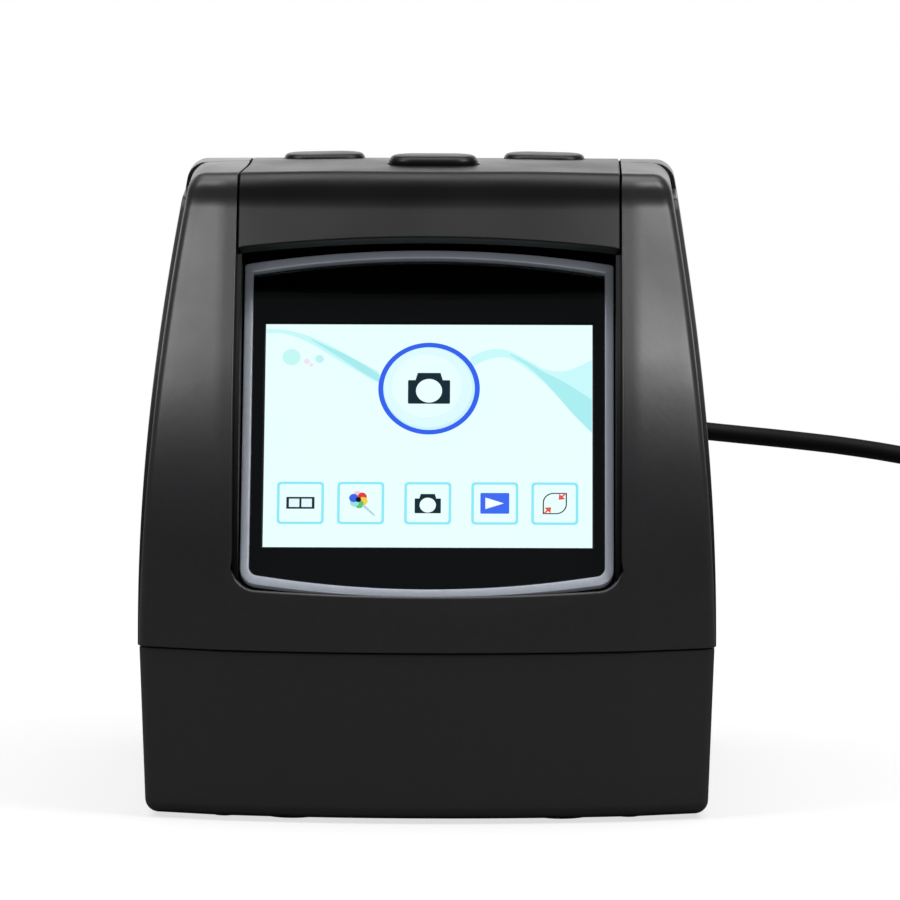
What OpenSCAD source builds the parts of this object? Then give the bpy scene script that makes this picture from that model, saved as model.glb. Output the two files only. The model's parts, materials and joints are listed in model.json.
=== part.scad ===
// Stand-alone 35 mm film negative scanner with a leaning screen, three top buttons and a USB lead.
// The origin is on the table under the middle of the body. X is to the right, Y to the back, Z up.

/* [Body] */
// Width of the body at the seam
body_w = 86; // [71:1:104]
// Depth of the body at the seam
body_d = 86; // [84:1:104]
// Height of the highest point of the roof
top_z = 94.4; // [94:0.1:100]
// Thickness of the housing walls
wall = 2; // [1.6:0.1:2.4]
// Height of the seam between the base and the upper housings
seam_z = 25.7; // [25.7:0.1:26.2]
// How far the base stands in from the upper housings
base_step = 0.25; // [0.2:0.05:0.6]
// Height of the gap along the seam
seam_gap = 0.15; // [0.1:0.05:0.3]
// Height of the underside of the base
base_z = 0.6; // [0.4:0.1:1]

/* [Front] */
// Height where the front starts to lean back
bend_z = 33.6; // [32:0.2:35]
// Radius of the bend of the front
bend_r = 62; // [56:1:68]
// Lean of the upper part of the front
face_lean = 37; // [34:0.5:40]
// Height of the crease under the brow
crease_z = 89.8; // [88:0.2:91]
// Lean of the brow above the crease
brow_lean = 12; // [6:1:16]
// Length of the flat band of the brow
brow_band = 2.2; // [1.5:0.1:3]
// Rounding of the brow into the roof
brow_r = 3; // [2:0.2:3.4]
// Radius of the bow across the front
bow_r = 174; // [140:2:240]
// Width of each side facet
facet_w = 11.8; // [9:0.2:13]
// Angle of each side facet
facet_angle = 16.5; // [12:0.5:20]

/* [Curves of the body] */
// Radius of the sides, which lean in towards the top
side_r = 363; // [330:1:420]
// Radius of the back
back_r = 500; // [450:10:700]
// Crown of the roof across the body
crown_r = 715; // [500:5:900]
// Crown of the roof from front to back
roof_r = 225; // [200:5:400]
// Place of the roof's highest point, behind the middle where it is over 0
roof_y = -5.2; // [-10:0.2:6]
// Rounding of the upper corners, seen from the front
shoulder_r = 3; // [2.5:0.1:4]
// Rounding of the top of the back
rump_r = 8; // [6:0.5:10]
// Rounding of the rear corners, seen from above
corner_r = 10; // [8:0.5:12]
// Rounding of the lower edge of the base
sole_r = 2; // [1.5:0.1:2.5]
// How far the sides of the base lean in towards the table
base_draft = 0.9; // [0.5:0.1:1.5]
// Depth of the front housing behind the front
part_depth = 7.4; // [7:0.1:8.5]
// Place of the joint across the roof
part_y = 7; // [6:0.5:9]

/* [Screen] */
// Lean of the screen
screen_lean = 32.5; // [31:0.5:34]
// Width of the lit area of the display
lit_w = 48.96; // [47:0.1:50]
// Height of the lit area of the display
lit_h = 36.72; // [35:0.1:37.5]
// How far the display lies right of the middle
lit_shift = 0.05; // [0:0.05:0.3]
// Width of the bezel ring
bezel_w = 55.4; // [54:0.2:57]
// Width of the bezel's line
bezel_line = 1.3; // [1:0.1:1.5]
// Gap between the bezel ring and the housing
bezel_gap = 1.2; // [1:0.1:1.4]
// Thickness of the bezel ring
bezel_t = 1.2; // [1:0.1:1.4]
// Thickness of the screen lens
lens_t = 1; // [0.8:0.1:1.1]
// Thickness of the walls of the screen surround
surround_t = 0.8; // [0.7:0.1:1]

/* [Top cover and buttons] */
// Width of the top cover
cover_w = 57.2; // [56:0.1:57.3]
// Gap beside the top cover
cover_gap = 0.3; // [0.2:0.05:0.5]
// How far the left edge of the top cover bends in on the roof
cover_bend = 1.4; // [0:0.1:2]
// Where the top cover ends towards the back
cover_back = 30; // [28:1:33]
// Length of the OK button
ok_l = 13.4; // [12:0.2:14]
// Length of the side buttons
arrow_l = 12.4; // [11:0.2:13]
// Width of the buttons
button_w = 7.2; // [6.4:0.2:7.6]
// Height of the OK button above the roof
button_proud = 1.5; // [1.2:0.1:2.2]
// How far the three buttons lie right of the middle
button_shift = 0.5; // [0:0.1:0.8]
// How far the buttons travel
button_travel = 0.6; // [0.4:0.1:0.7]
// Clearance round the buttons
button_gap = 0.3; // [0.25:0.05:0.4]
// Turn of the side buttons, seen from above
arrow_turn = 12; // [8:1:15]
// Diameter of the power button
power_d = 8; // [7:0.5:9]
// Height of the middle of the power button
power_z = 66; // [62:1:70]

/* [Film path] */
// Width of the film slot
slot_w = 60; // [58:0.5:60.5]
// Height of the film slot
slot_h = 9; // [8:0.2:9.2]
// Height of the floor of the film slot
slot_z = 14; // [13.6:0.1:14.2]
// Width of the film window along the film
gate_w = 40; // [36:0.5:42]
// Depth of the film window across the film
gate_d = 30; // [26:0.5:32]
// Thickness of the film guide's walls
guide_t = 1.5; // [1.2:0.1:1.6]

/* [Optics] */
// Radius of the lens barrel
barrel_r = 8; // [7:0.2:8.4]
// Width of the lens holder
holder_w = 26; // [24:0.5:27]
// Height of the top of the light shade
shade_top = 44; // [42:0.5:45]
// Height of the top of the lens holder
holder_top = 55.8; // [55:0.2:57]

/* [Boards] */
// Thickness of the circuit boards
board_t = 1.6; // [1.2:0.1:1.8]
// Height of the main board
board_z = 42; // [41.5:0.1:42.5]
// Depth of the main board
board_d = 24.8; // [24:0.1:25]
// Place of the USB socket across the back
usb_x = 12; // [10:0.5:14]
// Place of the video jack across the back
jack_x = -0.5; // [-1:0.1:2]
// Place of the card slot across the back
card_x = -18.4; // [-18.5:0.1:-18]
// Radius of the bore of the video jack
jack_bore_r = 1.8; // [1.75:0.01:1.85]

/* [Screws and feet] */
// Distance between the rear housing screws across the body
rear_span = 69; // [66:1:72]
// Distance between the front housing screws across the body
front_span = 60; // [56:1:62]
// Radius of the screw posts
post_r = 3; // [2.8:0.1:3.2]
// Radius of the long housing screws
screw_r = 1.25; // [1.1:0.05:1.4]
// Radius of the small board screws
pin_r = 0.9; // [0.8:0.05:1]
// Clearance round the screws
screw_gap = 0.05; // [0.04:0.01:0.1]
// Radius of the rubber feet
foot_r = 5; // [4:0.5:6]

/* [USB lead] */
// Diameter of the cord
cord_d = 2.9; // [2.6:0.1:3]
// Number of turns in the coil
coil_turns = 6; // [4:2:8]
// Gap between neighbouring turns
coil_space = 0.42; // [0.4:0.02:0.8]
// Radius of the outermost turn
coil_r = 21; // [21:0.5:23]

/* [Hidden] */
$fn = 48;
far = 150;                      // reach of cutting shapes past the body
snug = 0.1;                     // clearance between pieces that seat on each other
front_y = -body_d / 2;
back_y = body_d / 2;
half_w = body_w / 2;
ridge_x = half_w - facet_w;     // where the bow of the front meets a facet
floor_z = base_z + wall;        // top of the bottom plate

// ---- curves of the body ----
function bow(x) = bow_r - sqrt(bow_r * bow_r - x * x);
function front_depth(x) = abs(x) <= ridge_x ? bow(x) : bow(ridge_x) + (abs(x) - ridge_x) * tan(facet_angle);
function side_x(z) = half_w - side_r + sqrt(side_r * side_r - (z - seam_z) * (z - seam_z));
function crown_z(x) = top_z - crown_r + sqrt(crown_r * crown_r - x * x);
function rear_y(z) = back_y - back_r + sqrt(back_r * back_r - (z - seam_z) * (z - seam_z));
function roof_z(y) = top_z - roof_r + sqrt(roof_r * roof_r - (y - roof_y) * (y - roof_y));
function unit(v) = v / norm(v);
function turn_of(v) = atan2(v[1], v[0]);
function wrap(a) = a > 180 ? a - 360 : a < -180 ? a + 360 : a;

// The points of an arc of radius r that rounds the corner p between a and b
function rounded(a, p, b, r, steps = 4) =
    let (ua = unit(a - p), ub = unit(b - p), half = acos(ua * ub) / 2,
        c = p + unit(ua + ub) * r / sin(half),
        a0 = turn_of(p + ua * r / tan(half) - c), a1 = turn_of(p + ub * r / tan(half) - c),
        sweep = wrap(a1 - a0))
    [for (i = [0:steps]) c + r * [cos(a0 + sweep * i / steps), sin(a0 + sweep * i / steps)]];

function mirrored(points) = [for (i = [len(points) - 1:-1:0]) [-points[i][0], points[i][1]]];
function moved(points, shift) = [for (p = points) p + shift];

// ---- where things are ----
bend_centre = [0, front_y + bend_r, bend_z];
bend_top_y = front_y + bend_r * (1 - cos(face_lean));
bend_top_z = bend_z + bend_r * sin(face_lean);
crease_y = bend_top_y + (crease_z - bend_top_z) * tan(face_lean);
crease_tilt = 6;                // the crease falls this much towards the back
brow_centre = [0, crease_y + brow_r * cos(brow_lean) + brow_band * sin(brow_lean),
    crease_z - brow_r * sin(brow_lean) + brow_band * cos(brow_lean)];

screen_drop = 38.2;             // from the top of the roof down to the middle of the display
screen_at = [0, front_y + 16.1, top_z - screen_drop];
opening_w = bezel_w + 2 * bezel_gap;
opening_r = 3.3;
ring_top = 30.7;                // ends of the bezel ring, up and down from the display's middle
ring_bottom = -26.5;
ring_top_arch = 2.4;
ring_bottom_arch = 2.4;
ring_corner_r = 2.2;
cover_arch = 0.8;
cover_edge = 28.1;              // lower edge of the top cover, up from the display's middle
surround_floor = bezel_t + snug;
surround_top = 32.2;

button_board_z = top_z - 9.7;
switch_w = 6;
switch_h = 2.5;
plunger_h = 0.6;
plunger_r = 1.7;
flange_t = 0.9;
ok_at = [button_shift, -2.6];
arrow_x = 16.75;
arrow_y = 12;
right_at = [button_shift + arrow_x, arrow_y];
left_at = [button_shift - arrow_x, arrow_y];

wide = body_w - 86;             // how much wider than usual the body is
rear_post = [(rear_span + wide) / 2, back_y - 6.5];
fore_post = [(front_span + wide) / 2, front_y + 4.8 + front_depth((front_span + wide) / 2)];
screw_head_r = 2.2;
screw_head_h = 1.6;
screw_sink = 1.3;               // depth of the screw heads' recess in the bottom plate
screw_tip = 32;
boss_top = 33;

main_board_y = back_y - 3.2 - board_d;
main_board_w = body_w - 12;
board_top = board_z + board_t;
board_post = [30 + wide / 2, main_board_y + 3.2];
power_x = -22;
shade_t = 1.5;
shade_foot = slot_z + slot_h + guide_t;
chassis_z = shade_foot + snug;
chassis_t = 2;
shade_z = chassis_z;
shade_r = 25;
shade_neck_r = 10.5;

// ---- shared shapes ----
// Depth outline of the bowed front with its facets: x across, y inwards
module bow_outline(inset = 0) {
    xs = [-far / 2, -half_w, for (i = [-4:4]) i * ridge_x / 4, half_w, far / 2];
    polygon(concat([for (x = xs) [x, front_depth(x) + inset]], [[far / 2, far], [-far / 2, far]]));
}

module flat_outline(inset = 0) {
    translate([-far / 2, inset]) square([far, far - inset]);
}

// The half space above or below the crease
module past_crease(above) {
    translate([0, crease_y, crease_z]) rotate([-crease_tilt, 0, 0])
        translate([-far, -far, above ? 0 : -2 * far]) cube([2 * far, 2 * far, 2 * far]);
}

// Runs an outline (x across, y inwards) up the front: upright, round the bend, then leaning back
module up_front() {
    lower = seam_z - wall;
    translate([0, front_y, lower]) linear_extrude(bend_z - lower) children();
    translate(bend_centre) rotate([90, 0, -90]) rotate_extrude(angle = face_lean, $fn = 96)
        intersection() {
            translate([bend_r, 0]) rotate(90) children();
            translate([0, -far]) square([bend_r + 1, 2 * far]);
        }
    intersection() {
        translate(bend_centre) rotate([-face_lean, 0, 0]) translate([0, -bend_r, 0])
            linear_extrude(far) children();
        past_crease(false);
    }
    intersection() {
        for_brow() children();
        past_crease(true);
    }
}

// The brow above the crease, rounded into the roof in three planes
module for_brow() {
    intersection_for (tilt = [brow_lean, 35, 58])
        translate(brow_centre) rotate([-tilt, 0, 0]) translate([0, -brow_r, -far / 2])
            linear_extrude(far) children();
}

module side_space(inset = 0) {
    low = inset > 0 ? seam_z - wall : seam_z;
    corner_z = crown_z(side_x(top_z - 1));
    corner = [side_x(corner_z) - inset, corner_z - inset];
    sides = [for (i = [0:6]) let (z = seam_z + (corner_z - 6 - seam_z) * i / 6) [side_x(z) - inset, z]];
    crown = [for (i = [3:-1:1]) let (x = i * half_w / 4) [x, crown_z(x) - inset]];
    right = concat([[half_w - inset, low]], inset > 0 ? sides : [for (i = [1:6]) sides[i]],
        rounded(sides[6], corner, crown[0], shoulder_r - inset * 0.9), crown);
    rotate([90, 0, 0]) linear_extrude(2 * far, center = true)
        polygon(concat(right, [[0, top_z - inset]], mirrored(right)));
}

module roof_space(inset = 0) {
    low = seam_z - wall;
    corner_z = roof_z(rear_y(top_z - 3));
    corner = [rear_y(corner_z) - inset, corner_z - inset];
    back = [for (i = [0:3]) let (z = seam_z + (corner_z - 10 - seam_z) * i / 3) [rear_y(z) - inset, z]];
    roof = [for (i = [0:6]) let (y = back_y * 0.65 - i * body_d * 0.16) [y, roof_z(y) - inset]];
    outline = concat([[back_y - inset, low]], back, rounded(back[3], corner, roof[0], rump_r - inset),
        roof, [[-far, roof[6][1]], [-far, low]]);
    rotate([90, 0, 90]) linear_extrude(2 * far, center = true) polygon(outline);
}

// Trims the upright rear corners
module plan_space(inset = 0) {
    c = [half_w - corner_r, back_y - corner_r];
    r = corner_r - inset;
    arc = [for (a = [15:15:75]) c + r * [cos(a), sin(a)]];
    right = concat([[half_w + 3, -far], [half_w + 3, c[1] - 5]], arc, [[c[0] - 5, back_y + 3]]);
    translate([0, 0, -far]) linear_extrude(2 * far) polygon(concat(right, mirrored(right)));
}

// The upper housings as one solid, or their inside at a given depth under the skin
module upper_form(inset = 0) {
    intersection() {
        up_front() bow_outline(inset);
        side_space(inset);
        roof_space(inset);
        plan_space(inset);
    }
}

module base_form(inset = 0) {
    top = seam_z - seam_gap;
    low = inset > 0 ? base_z - wall : base_z;
    high = inset > 0 ? seam_z + wall : top;
    w = half_w - base_step - inset;
    foot = w - base_draft;
    d = back_y - base_step - inset;
    r = inset > 0 ? 0.2 : sole_r;
    side = concat([[w, high], [w, top]], rounded([w, top], [foot, low], [0, low], r));
    rear = concat([[d, high]], rounded([d, high], [d, low], [0, low], r),
        rounded([0, low], [-d, low], [-d, high], r), [[-d, high]]);
    intersection() {
        translate([0, front_y + base_step, base_z - wall]) linear_extrude(far) bow_outline(inset);
        rotate([90, 0, 0]) linear_extrude(2 * far, center = true) polygon(concat(side, mirrored(side)));
        rotate([90, 0, 90]) linear_extrude(2 * far, center = true) polygon(rear);
        plan_space(base_step + inset);
    }
}

// A slab across a plane where two lengths of the front meet, so that nothing thin is left between them
module bridge(depth) {
    translate([-far, depth + 1, -0.5]) cube([2 * far, far, 1]);
}

// Everything deeper behind the front than the front housing reaches
module behind_joint(gap = 0) {
    deep = part_depth + gap;
    difference() {
        union() {
            up_front() flat_outline(deep);
            translate([0, front_y, bend_z]) bridge(deep);
            translate(bend_centre) rotate([-face_lean, 0, 0]) bridge(deep - bend_r);
            translate([0, crease_y, crease_z]) rotate([-crease_tilt, 0, 0]) bridge(deep);
        }
        translate([-far, -far, crease_z - gap]) cube([2 * far, far + part_y + gap, far]);
    }
}

// Puts children on the screen: x across, y up the screen, z out of it
module on_screen(lift = 0) {
    translate(screen_at) rotate([90 - screen_lean, 0, 0]) translate([0, 0, lift]) children();
}

// Outline with arched ends, x across and y up the screen
function arch_end(half, y, rise, steps = 6) =
    [for (i = [-steps:steps]) let (t = i / steps) [half * t, y + rise * (1 - t * t)]];

module ring_outline(inset = 0) {
    half = bezel_w / 2 - inset;
    low = ring_bottom + ring_bottom_arch + inset;
    high = ring_top - ring_top_arch - inset;
    r = ring_corner_r - min(inset, ring_corner_r - 0.9);
    upper = arch_end(half, high, ring_top_arch);
    lower = arch_end(half, low, -ring_bottom_arch);
    corner = rounded([half, high], [half, low], lower[11], r, 3);
    polygon(concat(upper, corner, [for (i = [11:-1:1]) lower[i]], mirrored(corner)));
}

// The opening in the front housing, open at its top
module opening_outline(grow = 0) {
    half = opening_w / 2 + grow;
    low = ring_bottom + ring_bottom_arch - bezel_gap - grow;
    lower = arch_end(half, low, -ring_bottom_arch);
    corner = rounded([half, 0], [half, low], lower[11], opening_r + grow, 4);
    polygon(concat([[half, 40]], corner, [for (i = [11:-1:1]) lower[i]], mirrored(corner), [[-half, 40]]));
}

// A pill with its long side along x
module pill(length, width) {
    for (side = [-1, 1]) translate([side * (length - width) / 2, 0]) circle(width / 2);
    square([length - width, width], center = true);
}

module at_corners(x, y_front, y_back) {
    for (sx = [-1, 1]) {
        translate([sx * x, y_front, 0]) children();
        translate([sx * x, y_back, 0]) children();
    }
}

module at_posts() {
    for (side = [-1, 1]) {
        translate([side * fore_post[0], fore_post[1], 0]) children();
        translate([side * rear_post[0], rear_post[1], 0]) children();
    }
}

// The screw posts from z0 up to z1 with webs out to the front and rear walls, bored for the screws
module posts(z0, z1, bore, fore = true, rear = true) {
    for (side = [-1, 1], back = [if (fore) 0, if (rear) 1]) {
        at = back == 1 ? rear_post : fore_post;
        translate([side * at[0], at[1], z0]) difference() {
            union() {
                cylinder(h = z1 - z0, r = post_r);
                translate([-0.8, back == 1 ? 0 : -8, 0]) cube([1.6, 8, z1 - z0]);
                if (back == 1) translate([side > 0 ? 0 : -8, -0.8, 0]) cube([8, 1.6, z1 - z0]);
            }
            translate([0, 0, -1]) cylinder(h = z1 - z0 + 2, r = bore);
        }
    }
}

module tube(outer, inner, height) {
    difference() {
        cylinder(h = height, r = outer);
        translate([0, 0, -1]) cylinder(h = height + 2, r = inner);
    }
}

module box(size, at) {
    translate(at - [size[0] / 2, size[1] / 2, 0]) cube(size);
}

// ---- housings ----
// The space of the top cover, whose left edge bends in on the roof
module cover_slot(half, back) {
    bend = [[0, -0.5], [0.18, 3], [0.46, 7], [0.8, 12], [0.96, 17], [1, 24]];
    left = [for (b = bend) [b[0] * cover_bend - half, brow_centre[1] + b[1]]];
    translate([0, 0, seam_z + 20]) linear_extrude(far)
        polygon(concat([[half, back], [half, -far], [-half, -far]], left, [[left[5][0], back]]));
}

// The shallow dish round the bezel, which runs out in the chin; it can reach past the opening's sides
module dish(past = 0) {
    half = opening_w / 2 + past;
    translate([-half, -2 * surround_top, 0]) cube([2 * half, far, far]);
}

module front_housing() {
    color("dimgray") {
        difference() {
            difference() {
                upper_form();
                behind_joint();
            }
            upper_form(wall);
            cover_slot(cover_w / 2 + cover_gap, far);
            on_screen(-25) linear_extrude(26) opening_outline();
            on_screen() dish(0.03);
        }
        intersection() {
            posts(seam_z + snug, boss_top, screw_r + screw_gap, rear = false);
            upper_form(wall / 2);
        }
    }
}

module rear_housing() {
    color("dimgray") {
        difference() {
            intersection() {
                difference() {
                    upper_form();
                    upper_form(wall);
                }
                behind_joint(snug);
            }
            cover_slot(cover_w / 2 + cover_gap, cover_back + cover_gap);
            rear_ports();
        }
        cover_ledge();
        intersection() {
            posts(seam_z + snug, screw_tip + 1, screw_r + screw_gap, fore = false);
            upper_form(wall / 2);
        }
        intersection() {
            posts(screw_tip + 1, board_z - snug, pin_r + screw_gap, fore = false);
            upper_form(wall / 2);
        }
        power_posts();
    }
}

// A ledge under the sides and the rear end of the top cover, joined to the roof outside its slot
module cover_ledge() {
    half = cover_w / 2 + cover_gap;
    deep = wall + 1.4;
    intersection() {
        difference() {
            upper_form(wall + 0.05);
            upper_form(deep);
        }
        ledge_space(half - 2.4, half + 2);
    }
    intersection() {
        difference() {
            upper_form(wall - 0.4);
            upper_form(deep);
        }
        ledge_space(half + 0.1, half + 2);
    }
}

// A U around the slot of the top cover, from an inner to an outer half-width
module ledge_space(inner, outer) {
    back = cover_back + cover_gap - cover_w / 2 - cover_gap;
    low = part_y + snug + 0.1;
    translate([0, 0, top_z - 14]) linear_extrude(far) difference() {
        translate([-outer, low]) square([2 * outer, back + outer - low]);
        translate([-inner, low - 1]) square([2 * inner, back + inner - low + 1]);
    }
}

module power_posts() {
    y0 = power_board_y + board_t + snug;
    for (side = [-1, 1]) translate([power_x + side * 8, y0, power_z])
        rotate([-90, 0, 0]) tube(1.8, pin_r + screw_gap, rear_y(power_z) - wall / 2 - y0);
}

// Openings in the back for the sockets and the power button
module rear_ports() {
    translate([usb_x - 5.2, back_y - 6, board_top - 0.9]) cube([10.4, 12, 6.4]);
    translate([jack_x, back_y + 4, board_top + 2.6]) rotate([90, 0, 0]) cylinder(h = 10, r = 2.9);
    translate([card_x - 13, back_y - 6, board_top + 0.4]) cube([26, 12, 3.2]);
    translate([power_x, back_y + 4, power_z]) rotate([90, 0, 0])
        cylinder(h = 10, r = power_d / 2 + button_gap);
}

module top_cover() {
    half = cover_w / 2;
    color("slategray") {
        difference() {
            intersection() {
                difference() {
                    upper_form();
                    upper_form(wall - snug);
                }
                cover_slot(half, cover_back);
            }
            on_screen(-20) linear_extrude(60) cover_cut();
            button_holes();
        }
        cover_bosses();
    }
}

// What lies below the arched lower edge of the top cover
module cover_cut() {
    half = opening_w / 2 + 2;
    polygon(concat([[-half, -60]], arch_end(half, cover_edge - cover_arch, cover_arch), [[half, -60]]));
}

module button_holes() {
    place_button(ok_at, 0) button_hole(ok_l);
    place_button(right_at, -arrow_turn) button_hole(arrow_l);
    place_button(left_at, arrow_turn) button_hole(arrow_l);
}

module place_button(at, turn) {
    translate([at[0], at[1], 0]) rotate(turn) children();
}

module button_hole(length) {
    translate([0, 0, top_z - 8]) linear_extrude(20)
        pill(length + 2 * button_gap, button_w + 2 * button_gap);
}

boss_spots = [[24, -3], [24, 19]];

module cover_bosses() {
    low = button_board_z + board_t + snug;
    for (spot = boss_spots, side = [-1, 1])
        intersection() {
            translate([side * spot[0], spot[1], low]) tube(2.2, pin_r + screw_gap, 12);
            upper_form(wall / 2);
        }
}

module base_housing() {
    top = seam_z - seam_gap;
    color("dimgray") {
        difference() {
            base_form();
            base_form(wall);
            translate([-far, -slot_w / 2, slot_z]) cube([2 * far, slot_w, slot_h]);
        }
        intersection() {
            base_form(wall / 2);
            union() {
                posts(floor_z + snug, top - snug, screw_r + 0.25);
                guide_rails();
            }
        }
    }
}

// Ledges inside the base that carry the film guide
module guide_rails() {
    z = slot_z - guide_t - snug;
    for (side = [-1, 1]) translate([side * (half_w - base_step - wall - 2), 0, 0])
        box([8, slot_w - 8, 2], [0, 0, z - 2]);
}

module bottom_plate() {
    color("dimgray") difference() {
        intersection() {
            base_form(wall + snug);
            translate([-far, -far, base_z]) cube([2 * far, 2 * far, wall]);
        }
        at_posts() {
            translate([0, 0, base_z - 1]) cylinder(h = 10, r = screw_r + 0.25);
            translate([0, 0, base_z - 1]) cylinder(h = 1 + screw_sink, r = screw_head_r + 0.3);
        }
    }
}

module rubber_feet() {
    color("black") at_corners(fore_post[0] - 10, fore_post[1] + 3, rear_post[1] - 3)
        cylinder(h = base_z, r = foot_r);
}

module housing_screws() {
    head_z = base_z + screw_sink - screw_head_h;
    color("silver") at_posts() {
        translate([0, 0, head_z]) difference() {
            cylinder(h = screw_head_h, r = screw_head_r);
            for (turn = [0, 90]) rotate(turn) translate([-1.4, -0.3, -1]) cube([2.8, 0.6, 1.8]);
        }
        cylinder(h = screw_tip - 1, r = screw_r);
    }
}

// ---- screen ----
module screen_surround() {
    window = [lit_w + 2.4, lit_h + 2.4];
    color("black") difference() {
        intersection() {
            on_screen(-surround_floor - 1.5) linear_extrude(60) surround_outline();
            union() {
                on_screen(-surround_floor - 1.5) translate([-far, -far, 0]) cube([2 * far, 2 * far, 1.5]);
                intersection() {
                    upper_form(0.5);
                    side_slabs();
                    on_screen(-surround_floor - 1.5) translate([-far, cover_edge - far - 1.5, 0])
                        cube([2 * far, far, 60]);
                }
                intersection() {
                    upper_form(wall + 0.3);
                    union() {
                        side_slabs();
                        on_screen(-surround_floor - 1.5) translate([-far, surround_top, 0])
                            cube([2 * far, 3, 60]);
                    }
                }
            }
        }
        on_screen(-10) translate([lit_shift - window[0] / 2, -window[1] / 2, 0])
            cube([window[0], window[1], 20]);
    }
}

module side_slabs() {
    half = opening_w / 2 - snug;
    for (side = [-1, 1]) translate([side * (half - surround_t / 2), 0, 0])
        box([surround_t, 2 * far, far], [0, 0, seam_z]);
}

module surround_outline() {
    intersection() {
        opening_outline(-snug);
        translate([-far / 2, -far]) square([far, far + surround_top + surround_t]);
    }
}

module screen_bezel() {
    color("lightslategray") on_screen(-bezel_t) linear_extrude(bezel_t) difference() {
        ring_outline();
        ring_outline(bezel_line);
    }
}

module screen_lens() {
    color([0.05, 0.06, 0.07]) on_screen(-bezel_t) linear_extrude(lens_t) ring_outline(bezel_line + 0.05);
}

module display_panel() {
    w = lit_w + 1.6;
    h = lit_h + 1.6;
    color("azure") on_screen(-surround_floor - 1.4) translate([lit_shift - w / 2, -h / 2, 0])
        cube([w, h, 1.3]);
}

panel_back = surround_floor + 1.4 + snug;
frame_w = 55.2;
frame_h = 44;

module display_frame() {
    color("silver") on_screen(-panel_back - 2.6) difference() {
        translate([lit_shift - frame_w / 2, -frame_h / 2 - 0.5, 0]) cube([frame_w, frame_h, 2.4]);
        translate([lit_shift - frame_w / 2 + 1, -frame_h / 2 + 0.5, 0.5])
            cube([frame_w - 2, frame_h - 2, 5]);
    }
}

module display_backlight() {
    color("white") on_screen(-panel_back - 2)
        translate([lit_shift - frame_w / 2 + 1 + snug, -frame_h / 2 + 0.5 + snug, 0])
            cube([frame_w - 2 - 2 * snug, frame_h - 2 - 2 * snug, 1.9]);
}

// The flat cable from the back of the display to a connector on the main board
module display_flex() {
    back = panel_back + 2.6 + snug;
    s = -8.4;
    y = screen_at[1] + s * sin(screen_lean) + (back + 0.3) * cos(screen_lean);
    z = screen_at[2] + s * cos(screen_lean) - (back + 0.3) * sin(screen_lean);
    color("darkorange") {
        on_screen(-back - 0.3) translate([17, s - 1, 0]) cube([10, 12, 0.3]);
        translate([17, y - 0.1, z]) cube([10, main_board_y + 1.2 - y, 0.3]);
        translate([17, main_board_y + 1, board_top]) cube([10, 3.4, z + 0.3 - board_top]);
    }
}

// The flat cable from the button board down to the main board
module button_flex() {
    color("darkorange") {
        translate([-21, main_board_y + 2.2, board_top + 1]) cube([9, 0.3, button_board_z - board_top - 1]);
        translate([-21, main_board_y + 1, board_top]) cube([9, 3, 1.2]);
    }
}

// ---- buttons ----
module button_cap(length, proud, base) {
    lip = 0.5;
    translate([0, 0, base - wall - 0.3]) linear_extrude(wall + 0.3 + proud - lip) pill(length, button_w);
    translate([0, 0, base + proud - lip - 0.01]) linear_extrude(lip) pill(length - 1, button_w - 1);
    translate([0, 0, base - wall - 0.3 - flange_t]) linear_extrude(flange_t)
        pill(length + 1.6, button_w + 1.6);
    plunger_top = button_board_z + board_t + switch_h + plunger_h;
    stem_z = plunger_top + button_travel + snug;
    translate([0, 0, stem_z]) cylinder(h = base - wall - 0.3 - stem_z, r = 1.8);
}

ok_base = crown_z(0) - (top_z - roof_z(ok_at[1]));
right_base = crown_z(right_at[0]) - (top_z - roof_z(arrow_y));
left_base = crown_z(left_at[0]) - (top_z - roof_z(arrow_y));

module ok_button() {
    color("gainsboro") place_button(ok_at, 0) button_cap(ok_l, button_proud, ok_base);
}

module left_button() {
    color("gainsboro") place_button(left_at, arrow_turn)
        button_cap(arrow_l, button_proud - 0.4, left_base);
}

module right_button() {
    color("gainsboro") place_button(right_at, -arrow_turn)
        button_cap(arrow_l, button_proud - 0.4, right_base);
}

module button_board() {
    color("green") difference() {
        box([54, 31, board_t], [0, 7.5, button_board_z]);
        for (spot = boss_spots, side = [-1, 1]) translate([side * spot[0], spot[1], button_board_z - 1])
            cylinder(h = board_t + 2, r = pin_r + 0.15);
    }
}

module tact_switch() {
    box([switch_w, switch_w, switch_h], [0, 0, 0]);
    cylinder(h = switch_h + plunger_h, r = plunger_r);
}

module button_switches() {
    color("dimgray") translate([0, 0, button_board_z + board_t]) {
        place_button(ok_at, 0) tact_switch();
        place_button(right_at, -arrow_turn) tact_switch();
        place_button(left_at, arrow_turn) tact_switch();
    }
}

// A small screw with its head on z = 0 and its shank going up
module small_screw(length) {
    translate([0, 0, -1.1]) difference() {
        cylinder(h = 1.1, r = 1.7);
        translate([0, 0, -1]) cylinder(h = 1.6, r = 0.8, $fn = 6);
    }
    translate([0, 0, -0.1]) cylinder(h = length + 0.1, r = pin_r);
}

module button_board_screws() {
    color("silver") for (spot = boss_spots, side = [-1, 1])
        translate([side * spot[0], spot[1], button_board_z]) small_screw(5);
}

// The flange of the power button lies just under the wall, which leans in towards the top
power_y = rear_y(power_z + power_d / 2 + 1.2) - wall - 0.3;
power_travel = 0.5;
power_board_y = power_y - flange_t - 0.4 - power_travel - snug - switch_h - plunger_h - board_t;

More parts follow.
